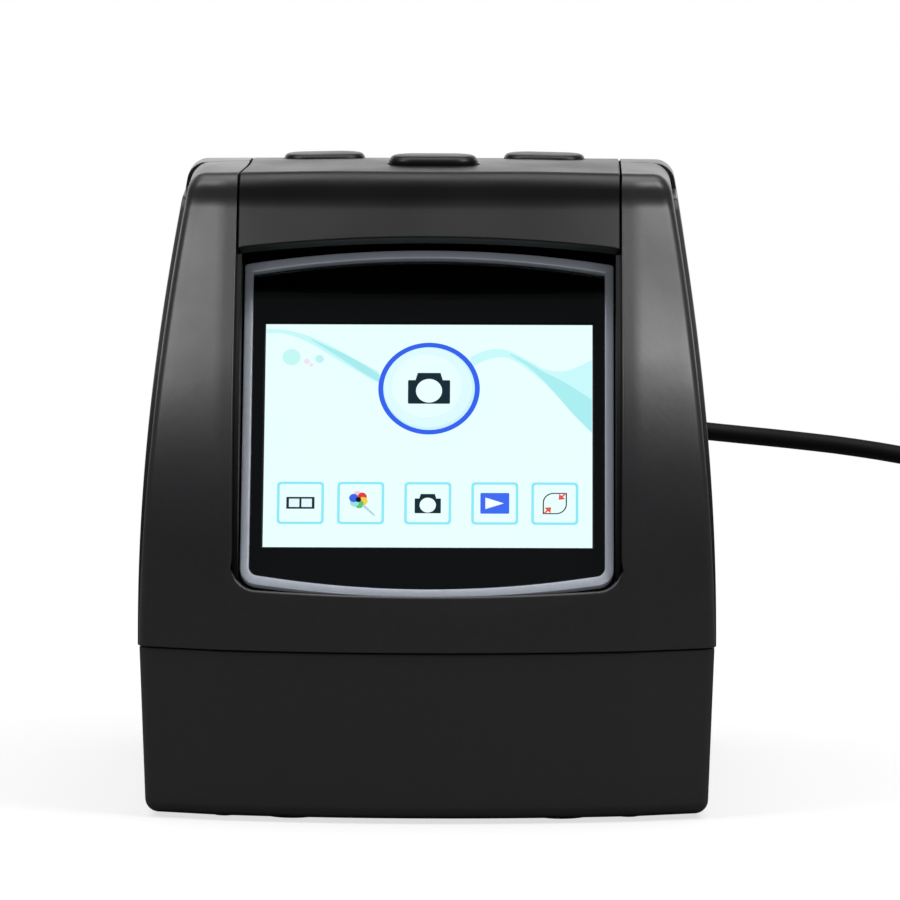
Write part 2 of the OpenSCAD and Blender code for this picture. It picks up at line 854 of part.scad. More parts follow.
module power_button() {
    top = rear_y(power_z) + 0.8 - power_y;
    color("dimgray") translate([power_x, power_y, power_z]) rotate([-90, 0, 0]) {
        cylinder(h = top, r = power_d / 2);
        translate([0, 0, top - 0.01]) cylinder(h = 0.4, r = power_d / 2 - 0.5);
        translate([0, 0, -flange_t]) cylinder(h = flange_t + 0.01, r = power_d / 2 + 1);
        translate([0, 0, -flange_t - 0.4]) cylinder(h = 0.5, r = 1.8);
    }
}

module power_board() {
    color("green") translate([power_x, power_board_y, power_z]) rotate([-90, 0, 0]) difference() {
        box([21, 12, board_t], [0, 0, 0]);
        for (side = [-1, 1]) translate([side * 8, 0, -1]) cylinder(h = 5, r = pin_r + 0.15);
    }
}

module power_switch() {
    color("dimgray") translate([power_x, power_board_y + board_t, power_z]) rotate([-90, 0, 0])
        tact_switch();
}

module power_board_screws() {
    color("silver") for (side = [-1, 1])
        translate([power_x + side * 8, power_board_y, power_z]) rotate([-90, 0, 0]) small_screw(5);
}

// ---- film path ----
guide_half_x = half_w - base_step - wall - base_draft * 0.6 - 0.3;
guide_half_y = slot_w / 2 + guide_t;

module guide_half(z, flat_z, height, walls_z) {
    box([2 * guide_half_x, 2 * guide_half_y, guide_t], [0, 0, flat_z]);
    for (side = [-1, 1])
        box([2 * guide_half_x, guide_t, height], [0, side * (slot_w / 2 + guide_t / 2), walls_z]);
}

module film_guide_lower() {
    color([0.12, 0.12, 0.13]) difference() {
        guide_half(0, slot_z - guide_t, slot_h / 2 + guide_t, slot_z - guide_t);
        box([gate_w + 4, gate_d + 4, 10], [0, 0, slot_z - 5]);
    }
}

module film_guide_upper() {
    color([0.12, 0.12, 0.13]) difference() {
        guide_half(0, slot_z + slot_h, slot_h / 2 + guide_t - snug, slot_z + slot_h / 2 + snug);
        box([gate_w, gate_d, 10], [0, 0, slot_z + slot_h - 5]);
        for (side = [-1, 1]) translate([side * (gate_w / 2 + 8), slot_w / 2 - 6, 0])
            cylinder(h = far, r = 1);
    }
}

// Two leaf springs over the film holder; their tips click into its notches
module film_springs() {
    color("silver") for (side = [-1, 1]) translate([side * (gate_w / 2 + 8), slot_w / 2 - 6, 0]) {
        z = slot_z + slot_h;
        box([3, 14, 0.3], [0, -4.5, z - 0.3 - snug]);
        translate([0, 0, z - 0.3 - snug]) cylinder(h = guide_t + 0.3, r = 0.8);
    }
}

lamp_floor = floor_z + snug;
lamp_top = slot_z - guide_t - snug;

module lamp_box() {
    color("white") difference() {
        box([gate_w + 10, gate_d + 10, lamp_top - lamp_floor], [0, 0, lamp_floor]);
        box([gate_w + 6, gate_d + 6, 20], [0, 0, lamp_floor + 1]);
        box([4, 5, 3], [gate_w / 2 + 4, 0.7, lamp_floor + 1.5]);
    }
}

module diffuser_plate() {
    color("white") box([gate_w + 3.6, gate_d + 3.6, guide_t + 0.2], [0, 0, slot_z - guide_t - 0.2]);
}

module lamp_board() {
    color("green") box([gate_w + 5.6, gate_d + 5.6, 1.2], [0, 0, lamp_floor + 1]);
}

module lamp_leds() {
    color("lightyellow") for (i = [-1:1], j = [-1:1])
        box([3.2, 2.8, 1], [i * gate_w / 3.4, j * gate_d / 3.4, lamp_floor + 2.2]);
}

// ---- optics ----
// A notch in the chassis round a screw post, out to the front or back edge
module notch(x, y, reach, r) {
    far_end = y + reach;
    near_end = y - sign(reach) * r;
    translate([x - r, min(near_end, far_end), chassis_z - 1]) cube([2 * r, abs(far_end - near_end), 5]);
}

module chassis() {
    color("dimgray") {
        difference() {
            intersection() {
                upper_form(wall + 1);
                translate([-far, -far, chassis_z]) cube([2 * far, 2 * far, chassis_t]);
            }
            translate([0, 0, chassis_z - 1]) cylinder(h = 5, r = shade_r + 0.3);
            for (side = [-1, 1]) {
                notch(side * fore_post[0], fore_post[1], -20, post_r + 0.5);
                notch(side * rear_post[0], rear_post[1], 20, post_r + 0.5);
                translate([side * (rear_post[0] + 16.5), rear_post[1], 0])
                    box([40, 2 * post_r + 1, 5], [0, 0, chassis_z - 1]);
            }
            translate([wire_at[0] - 0.75, wire_at[1] + 0.7, chassis_z - 1]) cylinder(h = 5, r = 2.2);
        }
        for (side = [-1, 1]) translate([side * board_post[0], board_post[1], chassis_z])
            difference() {
                translate([0, 0, 0.5]) cylinder(h = board_z - chassis_z - snug - 0.5, r = 2.4);
                translate([0, 0, board_z - chassis_z - 6]) cylinder(h = 10, r = pin_r + screw_gap);
            }
    }
}

module light_shade() {
    inner_foot = shade_r - shade_t;
    inner_neck = shade_neck_r - shade_t;
    neck = shade_top - 2;
    color("black") {
        difference() {
            rotate_extrude() polygon([[inner_foot, shade_z], [shade_r, shade_z], [shade_r, shade_z + 2],
                [shade_neck_r, neck], [inner_neck, neck], [inner_foot, shade_z + 2]]);
        }
        difference() {
            box([holder_w, holder_w, 2], [0, 0, neck]);
            translate([0, 0, neck - 1]) cylinder(h = 4, r = barrel_r + 0.2);
        }
    }
}

module lens_holder() {
    h = holder_top - shade_top;
    color([0.1, 0.1, 0.1]) difference() {
        box([holder_w, holder_w, h], [0, 0, shade_top]);
        translate([0, 0, shade_top - 1]) cylinder(h = h + 2, r = barrel_r + screw_gap);
        at_corners(holder_w / 2 - 3, 3 - holder_w / 2, holder_w / 2 - 3)
            translate([0, 0, holder_top - 5]) cylinder(h = 6, r = pin_r + screw_gap);
    }
}

barrel_z = shade_top - 4;
barrel_h = 13;
glass_r = barrel_r - 1.6;

module lens_barrel() {
    color([0.15, 0.15, 0.16]) translate([0, 0, barrel_z]) difference() {
        cylinder(h = barrel_h, r = barrel_r);
        translate([0, 0, -1]) cylinder(h = barrel_h + 2, r = glass_r - 1);
        translate([0, 0, -1]) cylinder(h = 4, r = glass_r + screw_gap);
        translate([0, 0, barrel_h - 3]) cylinder(h = 4, r = glass_r + screw_gap);
    }
}

module lens_elements() {
    color("lightcyan") {
        translate([0, 0, barrel_z + 0.4]) cylinder(h = 2.5, r = glass_r);
        translate([0, 0, barrel_z + barrel_h - 2.9]) cylinder(h = 2.5, r = glass_r);
    }
}

module infrared_filter() {
    color("lightblue") translate([0, 0, barrel_z + barrel_h + snug])
        cylinder(h = 0.5, r = barrel_r - 0.2);
}

module image_sensor() {
    color("darkslategray") box([10, 8, 1.1], [0, 0, holder_top - 1.1]);
}

module sensor_board() {
    color("green") difference() {
        box([holder_w, holder_w, board_t], [0, 0, holder_top]);
        at_corners(holder_w / 2 - 3, 3 - holder_w / 2, holder_w / 2 - 3)
            translate([0, 0, holder_top - 1]) cylinder(h = 6, r = pin_r + 0.15);
    }
}

module sensor_screws() {
    color("silver") at_corners(holder_w / 2 - 3, 3 - holder_w / 2, holder_w / 2 - 3)
        translate([0, 0, holder_top + board_t]) rotate([180, 0, 0]) small_screw(5);
}

// ---- main board ----
module main_board() {
    color("green") difference() {
        box([main_board_w, board_d, board_t], [0, main_board_y + board_d / 2, board_z]);
        for (side = [-1, 1]) {
            translate([side * rear_post[0], rear_post[1], board_z - 1])
                cylinder(h = 5, r = pin_r + 0.15);
            translate([side * board_post[0], board_post[1], board_z - 1])
                cylinder(h = 5, r = pin_r + 0.15);
        }
    }
}

module board_chips() {
    color("black") {
        box([12, 12, 1.2], [10.4, main_board_y + 8, board_top]);
        box([8, 5, 1], [24, main_board_y + 10, board_top]);
        box([14, 10, 1.1], [-14, main_board_y + 10, board_z - 1.1]);
        translate([32, main_board_y + 10, board_top]) cylinder(h = 4, r = 1.6);
    }
}

module usb_socket() {
    w = 7.7;
    h = 4;
    d = 9.2;
    front = rear_y(board_top) - 1.2;
    color("silver") difference() {
        box([w, d, h], [usb_x, front - d / 2, board_top]);
        box([w - 0.8, d, h - 0.8], [usb_x, front - d / 2 + 1, board_top + 0.4]);
    }
    color("black") box([w - 2.6, 5, 0.8], [usb_x, front - d + 3.4, board_top + 1.6]);
}

module video_jack() {
    d = 9.6;
    front = rear_y(board_top + 6) - wall - 0.2;
    nose = rear_y(board_top) - 0.6 - front;
    color([0.08, 0.08, 0.08]) difference() {
        union() {
            box([6, d, 5.2], [jack_x, front - d / 2, board_top]);
            translate([jack_x, front - 0.5, board_top + 2.6]) rotate([-90, 0, 0])
                cylinder(h = nose + 0.5, r = 2.5);
        }
        translate([jack_x, front + nose + 1, board_top + 2.6]) rotate([90, 0, 0])
            cylinder(h = d, r = jack_bore_r);
    }
}

module card_slot() {
    w = 28;
    d = 20;
    front = rear_y(board_top) - wall - 0.4;
    color("silver") difference() {
        box([w, d, 3.6], [card_x, front - d / 2, board_top]);
        box([24.6, d, 2.4], [card_x, front - d / 2 + 1, board_top + 0.8]);
    }
}

module main_board_screws() {
    color("silver") for (side = [-1, 1]) {
        translate([side * rear_post[0], rear_post[1], board_top]) rotate([180, 0, 0]) small_screw(4.8);
        translate([side * board_post[0], board_post[1], board_top]) rotate([180, 0, 0]) small_screw(4.8);
    }
}

// Two wires from the lamp board, out under the film guide and up behind it to the main board
wire_at = [gate_w / 2 + 8.5, guide_half_y + 1.2];

module lamp_wires() {
    r = 0.45;
    z = lamp_floor + 2.2 + r;
    for (i = [0, 1]) color("red") translate([wire_at[0] - 1.5 * i, 1.4 * i, z]) {
        rotate([0, -90, 0]) cylinder(h = 7, r = r, $fn = 16);
        sphere(r = r, $fn = 16);
        rotate([-90, 0, 0]) cylinder(h = wire_at[1], r = r, $fn = 16);
        translate([0, wire_at[1], 0]) sphere(r = r, $fn = 16);
        translate([0, wire_at[1], 0]) cylinder(h = board_z - z, r = r, $fn = 16);
    }
}

// The flat cable from the sensor board back to the main board
module sensor_flex() {
    y0 = holder_w / 2 - 2;
    y1 = main_board_y + 3;
    z1 = holder_top + board_t;
    color("darkorange") {
        box([8, y1 - y0, 0.3], [0, (y0 + y1) / 2, z1]);
        box([8, 0.3, z1 + 0.3 - board_top - 1], [0, y1, board_top + 1]);
        box([8, 3, 1], [0, y1, board_top]);
    }
}

// ---- USB lead ----
plug_z = board_top + 2;
plug_y = back_y + 0.8;
plug_l = 17;
relief_l = 9;
// The lead's route from the plug to the coil, chosen by hand
route = [[12, 70, 45.6], [12, 75, 45.5], [13.5, 82, 45.1], [18.5, 89, 44.4], [27, 93, 43.3],
    [36, 94, 42.1], [46, 94.3, 41], [57, 94.5, 39.9], [68, 94.5, 38.6], [79, 94, 36.6], [90, 92, 32.6],
    [100, 88, 26], [108, 82, 18], [114.5, 74.5, 10.5], [119.5, 66, 4.8], [123, 57, 2], [124.6, 47, 1.5],
    [125, 38, 1.45], [125, 32, 1.45], [125, 29, 1.45]];
coil_at = [104, 26];
coil_pitch = cord_d + coil_space;
coil_lift = cord_d + coil_space;
ring_step = 15;                 // degrees between the rings of the coil
entry_straight = 3;
exit_straight = 12;

module usb_plug_shell() {
    color("silver") difference() {
        box([6.6, 8, 2.9], [usb_x, plug_y - 3.4, plug_z - 1.45]);
        box([5.8, 6, 2.1], [usb_x, plug_y - 6, plug_z - 1.05]);
    }
}

module usb_plug_grip() {
    color([0.1, 0.1, 0.1]) translate([usb_x, plug_y + 0.6, plug_z]) rotate([-90, 0, 0]) {
        linear_extrude(plug_l - 4) pill(10, 6.4);
        translate([0, 0, plug_l - 4]) linear_extrude(4) pill(8, 5.4);
    }
}

// A tapered relief along +z with four grooves
module relief(length, r0, r1) {
    steps = 4;
    pitch = length / steps;
    rotate_extrude() polygon(concat([[0, 0]],
        [for (i = [0:steps - 1], k = [0, 1]) let (z = (i + k * 0.6) * pitch)
            [r0 + (r1 - r0) * z / length, z]],
        [[r1, length], [0, length]]));
}

module usb_strain_relief() {
    color([0.1, 0.1, 0.1]) translate([usb_x, plug_y + 0.6 + plug_l, plug_z]) rotate([-90, 0, 0])
        relief(70 - plug_y - 0.6 - plug_l, 2.6, cord_d / 2 + 0.3);
}

// A tube through points, closed at both ends, with its rings square to the path
module swept_tube(path, dirs, r, sides) {
    n = len(path);
    rings = [for (i = [0:n - 1]) let (d = unit(dirs[i]), u = unit(cross([0, 0, 1], d)), v = cross(d, u))
        for (k = [0:sides - 1]) let (a = 360 * (k + 0.5) / sides) path[i] + r * (cos(a) * u + sin(a) * v)];
    sides_of = [for (i = [0:n - 2], k = [0:sides - 1])
        let (a = i * sides + k, b = i * sides + (k + 1) % sides)
        each [[a, a + sides, b], [b, a + sides, b + sides]]];
    caps = [for (k = [1:sides - 2]) each [[0, k, k + 1],
        [(n - 1) * sides, (n - 1) * sides + k + 1, (n - 1) * sides + k]]];
    polyhedron(points = rings, faces = concat(sides_of, caps));
}

function route_dir(i) = i == 0 ? [0, 1, 0] : i == len(route) - 1 ? [0, -1, 0]
    : unit(route[i + 1] - route[i]) + unit(route[i] - route[i - 1]);

module usb_cord() {
    color([0.1, 0.1, 0.1])
        swept_tube(route, [for (i = [0:len(route) - 1]) route_dir(i)], cord_d / 2, 8);
}

// The coil: half its turns spiral in on the table, then it climbs and spirals out on top
turn_end = 360 * coil_turns;
function coil_radius(t) = coil_r - coil_pitch * (turn_end / 2 - abs(t - turn_end / 2)) / 360;
function coil_height(t) = cord_d / 2 + coil_lift * min(1, max(0, (t - turn_end / 2 + 90) / 180));
function coil_point(t) = [coil_at[0] + coil_radius(t) * cos(t), coil_at[1] - coil_radius(t) * sin(t),
    coil_height(t)];
coil_steps = turn_end / ring_step;
coil_top = coil_height(turn_end);
coil_path = concat([[coil_at[0] + coil_r, coil_at[1] + entry_straight, cord_d / 2]],
    [for (i = [0:coil_steps]) coil_point(i * ring_step)],
    [[coil_at[0] + coil_r, coil_at[1] - exit_straight, coil_top]]);
coil_dirs = [for (i = [0:len(coil_path) - 1]) i < 2 || i > len(coil_path) - 3 ? [0, -1, 0]
    : coil_path[i + 1] - coil_path[i - 1]];

module usb_cord_coil() {
    color([0.1, 0.1, 0.1]) swept_tube(coil_path, coil_dirs, cord_d / 2, 6);
}

function path_length(p, i = 1) = i >= len(p) ? 0 : norm(p[i] - p[i - 1]) + path_length(p, i + 1);
coil_gap = min([for (i = [0:2:len(coil_path) - 1], j = [0:len(coil_path) - 1])
    if (j > i + 6) norm(coil_path[i] - coil_path[j])]) - cord_d;
echo(coil_gap = coil_gap, cord_length = path_length(route) + path_length(coil_path));

far_y = coil_at[1] - exit_straight;
far_relief_l = 10;

module far_strain_relief() {
    color([0.1, 0.1, 0.1]) translate([coil_at[0] + coil_r, far_y, coil_top]) rotate([90, 0, 0])
        relief(far_relief_l, cord_d / 2 + 0.3, 3);
}

module far_plug_grip() {
    color([0.1, 0.1, 0.1]) translate([coil_at[0] + coil_r, far_y - far_relief_l, coil_top])
        rotate([90, 0, 0]) linear_extrude(19) pill(15.5, 2 * coil_top);
}

module far_plug_shell() {
    w = 12;
    h = 4.5;
    l = 18.8;
    y = far_y - far_relief_l - 19;
    color("silver") difference() {
        box([w, l, h], [coil_at[0] + coil_r, y - l / 2, coil_top - h / 2]);
        box([w - 0.7, l, h - 0.7], [coil_at[0] + coil_r, y - l / 2 - 7, coil_top - h / 2 + 0.35]);
    }
    color("white") box([w - 1.4, 11, 1.7], [coil_at[0] + coil_r, y - 6.5, coil_top - h / 2 + 0.35]);
}

front_housing();
rear_housing();
top_cover();
base_housing();
bottom_plate();
rubber_feet();
housing_screws();
screen_surround();
screen_bezel();
screen_lens();
display_panel();
display_frame();
display_backlight();
display_flex();
left_button();
ok_button();
right_button();
button_board();
button_switches();
button_board_screws();
button_flex();
power_button();
power_board();
power_switch();
power_board_screws();
film_guide_lower();
film_guide_upper();
film_springs();
lamp_box();
diffuser_plate();
lamp_board();
lamp_leds();
chassis();
light_shade();
lens_holder();
lens_barrel();
lens_elements();
infrared_filter();
image_sensor();
sensor_board();
sensor_screws();
main_board();
board_chips();
usb_socket();
video_jack();
card_slot();
main_board_screws();
lamp_wires();
sensor_flex();
usb_plug_shell();
usb_plug_grip();
usb_strain_relief();
usb_cord();
usb_cord_coil();
far_strain_relief();
far_plug_grip();
far_plug_shell();
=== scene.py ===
# %% [markdown]
# # A film negative scanner
# This desk scanner is a small upright box of dark satin plastic. Its front leans back and carries a
# lit screen in a deep well, three keys sit in the roof, a film slot runs through the base and a thin
# USB lead leaves the back. The CAD model gives every size and place. The cells below give each visible
# piece its smooth skin, its edges and its finish.

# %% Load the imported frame
import json
import math

import bmesh
import bpy
import numpy as np
from mathutils import Matrix, Vector


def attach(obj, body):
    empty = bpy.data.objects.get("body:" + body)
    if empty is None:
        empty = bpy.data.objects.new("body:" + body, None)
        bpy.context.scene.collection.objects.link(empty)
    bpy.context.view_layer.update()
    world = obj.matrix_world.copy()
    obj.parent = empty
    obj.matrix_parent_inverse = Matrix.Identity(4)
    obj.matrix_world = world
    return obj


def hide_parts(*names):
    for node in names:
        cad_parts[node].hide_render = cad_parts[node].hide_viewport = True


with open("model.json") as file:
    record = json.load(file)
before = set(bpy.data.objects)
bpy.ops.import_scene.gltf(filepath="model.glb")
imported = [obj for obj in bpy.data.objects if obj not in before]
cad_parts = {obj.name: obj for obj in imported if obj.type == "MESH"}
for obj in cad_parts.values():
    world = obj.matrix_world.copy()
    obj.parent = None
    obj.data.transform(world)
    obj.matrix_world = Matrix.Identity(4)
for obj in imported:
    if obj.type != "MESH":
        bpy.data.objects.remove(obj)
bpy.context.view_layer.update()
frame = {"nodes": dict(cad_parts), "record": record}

MM = 0.001

# %% [markdown]
# ## Camera
# The photograph was taken from far away with a long lens, a little above the middle of the screen. The
# middle of the screen is put on its own spot in the picture, and the camera is rolled a tenth of a
# degree, as the real one was.

# %% Camera
AZIMUTH, ELEVATION, ROLL = (math.radians(a) for a in (0.5, 7.5, 0.12))
DISTANCE = 1.4
SENSOR = 36
LENS_PX = 9389.8
PICTURE = 900
SCREEN_PX = (427.9, 434.9)
aim = Vector((0, -26.9, 56.2)) * MM

back = Vector((math.sin(AZIMUTH) * math.cos(ELEVATION), -math.cos(AZIMUTH) * math.cos(ELEVATION),
               math.sin(ELEVATION)))
level = Vector((math.cos(AZIMUTH), math.sin(AZIMUTH), 0))
upright = back.cross(level)
right = level * math.cos(ROLL) + upright * math.sin(ROLL)
up = upright * math.cos(ROLL) - level * math.sin(ROLL)
px = DISTANCE / LENS_PX
spot = (aim + back * DISTANCE - right * ((SCREEN_PX[0] - PICTURE / 2) * px)
        - up * ((PICTURE / 2 - SCREEN_PX[1]) * px))

camera = bpy.data.objects.new("camera", bpy.data.cameras.new("camera"))
camera.data.sensor_width = SENSOR
camera.data.lens = LENS_PX / PICTURE * SENSOR
camera.data.clip_start, camera.data.clip_end = 0.05, 20
camera.matrix_world = Matrix.Translation(spot) @ Matrix((right, up, back)).transposed().to_4x4()
bpy.context.scene.collection.objects.link(camera)
bpy.context.scene.camera = camera
print("camera at", [round(v, 4) for v in spot])

# %% [markdown]
# ## Materials
# Almost everything here is moulded plastic. What tells one plastic from another is its colour, how
# wide its highlight spreads and how fine its grain is. So one helper makes them all: a noise gives the
# spark-eroded grain as bump, and a slower noise varies the roughness, as handling and the tool do.

# %% Material helpers
def shade(*rgb):
    """A colour measured on a screen, 0 to 255, as the linear colour that shaders use."""
    return tuple(((c / 255 + 0.055) / 1.055) ** 2.4 if c > 10 else c / 255 / 12.92 for c in rgb) + (1.0,)


def blank_material(name):
    made = bpy.data.materials.new(name)
    made.use_nodes = True
    made.node_tree.nodes.clear()
    return made, made.node_tree, made.node_tree.nodes.new("ShaderNodeOutputMaterial")


def node(tree, kind, **values):
    """A new node with its inputs set by name; an underscore stands for a space."""
    made = tree.nodes.new(kind)
    for name, value in values.items():
        made.inputs[name.replace("_", " ")].default_value = value
    return made


def wire(tree, *wires):
    """Links, each given as node, output, node, input."""
    for a, out, b, into in wires:
        tree.links.new(a.outputs[out], b.inputs[into])


def tinted(colour, factor):
    return tuple(min(1.0, c * factor) for c in colour[:3]) + (1.0,)


def finish_material(name, colour, roughness, grain=0.12, depth=0.006, vary=0.06, tone=0.08,
                    metallic=0.0, specular=0.5, size=0.35):
    """A moulded, painted or plated finish. grain is the bump's strength, size the grain's width in mm."""
    made, tree, out = blank_material(name)
    skin = node(tree, "ShaderNodeBsdfPrincipled", Metallic=metallic, Specular_IOR_Level=specular)
    place = node(tree, "ShaderNodeTexCoord")
    fine = node(tree, "ShaderNodeTexNoise", Scale=1000 / size / 3, Detail=3)
    slow = node(tree, "ShaderNodeTexNoise", Scale=55, Detail=4)
    rough = node(tree, "ShaderNodeMapRange", From_Min=0.3, From_Max=0.7,
                 To_Min=roughness - vary, To_Max=roughness + vary)
    mottle = node(tree, "ShaderNodeMixRGB", Color1=tinted(colour, 1 - tone), Color2=tinted(colour, 1 + tone))
    bump = node(tree, "ShaderNodeBump", Strength=grain, Distance=depth * MM)
    wire(tree, (place, "Object", fine, "Vector"), (place, "Object", slow, "Vector"),
         (slow, "Fac", rough, "Value"), (rough, "Result", skin, "Roughness"),
         (fine, "Fac", mottle, "Fac"), (mottle, "Color", skin, "Base Color"),
         (fine, "Fac", bump, "Height"), (bump, "Normal", skin, "Normal"), (skin, "BSDF", out, "Surface"))
    return made


def clear_material(name, tint, roughness):
    """Clear plastic or coated glass: see-through face on, more of a mirror at a slant from outside."""
    made, tree, out = blank_material(name)
    place, drift = node(tree, "ShaderNodeTexCoord"), node(tree, "ShaderNodeTexNoise", Scale=30)
    spread = node(tree, "ShaderNodeMapRange", To_Min=roughness * 0.7, To_Max=roughness * 1.3)
    slant, side = node(tree, "ShaderNodeFresnel", IOR=1.49), node(tree, "ShaderNodeNewGeometry")
    see, shine = node(tree, "ShaderNodeBsdfTransparent", Color=tint), node(tree, "ShaderNodeBsdfGlossy")
    outside, share, mix = (node(tree, kind) for kind in (
        "ShaderNodeMath", "ShaderNodeMath", "ShaderNodeMixShader"))
    outside.operation, share.operation = "MULTIPLY_ADD", "MULTIPLY"
    outside.inputs[1].default_value, outside.inputs[2].default_value = -1.0, 1.0
    wire(tree, (place, "Object", drift, "Vector"), (drift, "Fac", spread, "Value"),
         (spread, "Result", shine, "Roughness"), (side, "Backfacing", outside, 0),
         (slant, "Fac", share, 0), (outside, "Value", share, 1), (share, "Value", mix, "Fac"),
         (see, "BSDF", mix, 1), (shine, "BSDF", mix, 2), (mix, "Shader", out, "Surface"))
    return made


# %% Finishes of this scanner, by material slot
FINISH = {slot: finish_material(name, shade(*rgb), roughness, **more) for slot, name, rgb, roughness, more in (
    ("housing", "grained_charcoal", (50, 49, 51), 0.37, dict(grain=0.6, depth=0.022, tone=0.14)),
    ("cover", "satin_charcoal", (22, 22, 23), 0.4, dict(grain=0.4, depth=0.014, specular=0.35)),
    ("base", "grained_base", (49, 49, 49), 0.5, dict(grain=0.55, depth=0.02)),
    # The well's surround is a black moulding. Its colour is set darker still, as painted shade deep in the
    # well.
    ("surround", "well_black_with_painted_shade", (5, 5, 6), 0.6, dict(grain=0.3, specular=0.2)),
    ("bezel", "silver_paint", (136, 141, 150), 0.42, dict(grain=0.25, metallic=0.1)),
    ("buttons", "key_grey", (18, 18, 19), 0.38, dict(grain=0.2, specular=0.3)),
    ("feet", "rubber", (24, 24, 24), 0.85, dict(grain=0.6, depth=0.03)),
    ("screws", "zinc", (190, 192, 196), 0.34, dict(grain=0.2, metallic=1.0)),
    ("pressed_steel", "nickel_sheet", (205, 205, 202), 0.26, dict(grain=0.12, metallic=1.0)),
    ("spring_steel", "spring_steel", (160, 160, 165), 0.3, dict(metallic=1.0)),
    ("guide", "guide_black", (20, 20, 21), 0.62, dict(grain=0.5)),
    ("barrel", "anodised_black", (26, 26, 29), 0.4, dict(metallic=0.6)),
    ("diffuser", "opal_acrylic", (236, 238, 238), 0.5, dict(grain=0.1)),
    ("white_plastic", "white_plastic", (226, 227, 224), 0.5, {}),
    ("circuit_board", "solder_mask", (14, 78, 44), 0.35, dict(grain=0.4, size=0.9, tone=0.18)),
    ("chips", "chip_epoxy", (28, 28, 30), 0.6, dict(grain=0.5)),
    ("switches", "switch_black", (30, 30, 32), 0.5, {}),
    ("flex", "polyimide", (186, 104, 22), 0.3, dict(grain=0.25, size=1.4, tone=0.2)),
    ("wires", "wire_red", (170, 24, 20), 0.4, {}),
    ("lamps", "lamp_window", (240, 226, 150), 0.4, {}),
    ("sensor", "sensor_face", (34, 46, 52), 0.12, dict(grain=0.02)),
    ("cord_jacket", "cord_vinyl", (11, 11, 12), 0.62, dict(grain=0.35, depth=0.015, size=0.6, specular=0.15)),
    ("lens_window", "pane_black", (9, 11, 14), 0.09, dict(grain=0.0, vary=0.02, tone=0.03, specular=0.45)),
    ("display", "panel_edge", (20, 22, 24), 0.4, {}),
    ("power_key", "power_grey", (58, 58, 61), 0.4, dict(grain=0.25)))}
FINISH["plated_steel"] = FINISH["pressed_steel"]
FINISH["optical_glass"] = clear_material("coated_glass", (0.72, 0.86, 0.82, 1), 0.02)
pane_clear = clear_material("pane_clear", (0.97, 0.98, 0.98, 1), 0.05)
print("finishes:", len(bpy.data.materials))

# %% [markdown]
# ## The lead
# A slim USB lead leaves the socket in the back, turns round the right side and falls to the table. The
# rest of its 80 cm lies in a flat coil beside the scanner, outside the picture. It is one tube along a
# smooth path: a curve through given points, then the coil's own rule.

# %% The lead's path, in millimetres
CORD_D = 2.9
ROUTE = [(12, 70, 45.6), (12, 75, 45.5), (13.5, 82, 45.1), (18.5, 89, 44.4), (27, 93, 43.3), (36, 93.9, 42.1),
         (46, 94.15, 41), (57, 94.25, 39.9), (68, 94.2, 38.6), (79, 93.8, 36.6), (90, 92, 32.6), (100, 88, 26),
         (108, 82, 18), (114.5, 74.5, 10.5), (119.5, 66, 4.8), (123, 57, 2), (124.6, 47, 1.5),
         (125, 38, 1.45), (125, 32, 1.45), (125, 29, 1.45)]
COIL_AT, COIL_R, COIL_TURNS, COIL_SPACE = (104, 26), 21, 6, 0.42
EXIT = 12
pitch = CORD_D + COIL_SPACE
half_turn = 180 * COIL_TURNS


def coil_point(turn):
    radius = COIL_R - pitch * (half_turn - abs(turn - half_turn)) / 360
    climb = min(1, max(0, (turn - half_turn + 90) / 180))
    a = math.radians(turn)
    return (COIL_AT[0] + radius * math.cos(a), COIL_AT[1] - radius * math.sin(a), CORD_D / 2 + pitch * climb)


def smooth_path(points, parts, first, last):
    """Points on a smooth curve through the given ones, with given directions at its two ends."""
    p = [np.array(q, float) for q in points]
    tangents = [np.array(first, float)]
    tangents += [(p[i + 1] - p[i - 1]) / np.linalg.norm(p[i + 1] - p[i - 1]) for i in range(1, len(p) - 1)]
    tangents.append(np.array(last, float))
    path = []
    for i in range(len(p) - 1):
        span = np.linalg.norm(p[i + 1] - p[i])
        a, b = tangents[i] * span, tangents[i + 1] * span
        for j in range(parts):
            t = j / parts
            path.append((2 * t**3 - 3 * t**2 + 1) * p[i] + (t**3 - 2 * t**2 + t) * a
                        + (3 * t**2 - 2 * t**3) * p[i + 1] + (t**3 - t**2) * b)
    return path + [p[-1]]


coil_top = coil_point(2 * half_turn)[2]
lead_path = smooth_path(ROUTE, 3, (0, 1, 0), (0, -1, 0))
lead_path += [np.array(coil_point(t)) for t in np.arange(0, 2 * half_turn + 1, 7.5)]
lead_path += [np.array((COIL_AT[0] + COIL_R, COIL_AT[1] - d, coil_top)) for d in (4, 8, EXIT)]


# %% Tube helper
def mesh_piece(name, points, faces, finish, normals=None, smooth=True):
    """A piece from points in millimetres; the object itself stays at the origin."""
    mesh = bpy.data.meshes.new(name)
    mesh.from_pydata([tuple(float(c) * MM for c in p) for p in points], [], [tuple(f) for f in faces])
    mesh.validate()
    for m in (finish if isinstance(finish, (list, tuple)) else [finish]):
        mesh.materials.append(m)
    mesh.polygons.foreach_set("use_smooth", [smooth] * len(mesh.polygons))
    if normals is not None:
        mesh.normals_split_custom_set_from_vertices([tuple(map(float, n)) for n in normals])
    mesh.update()
    made = bpy.data.objects.new(name, mesh)
    bpy.context.scene.collection.objects.link(made)
    return made


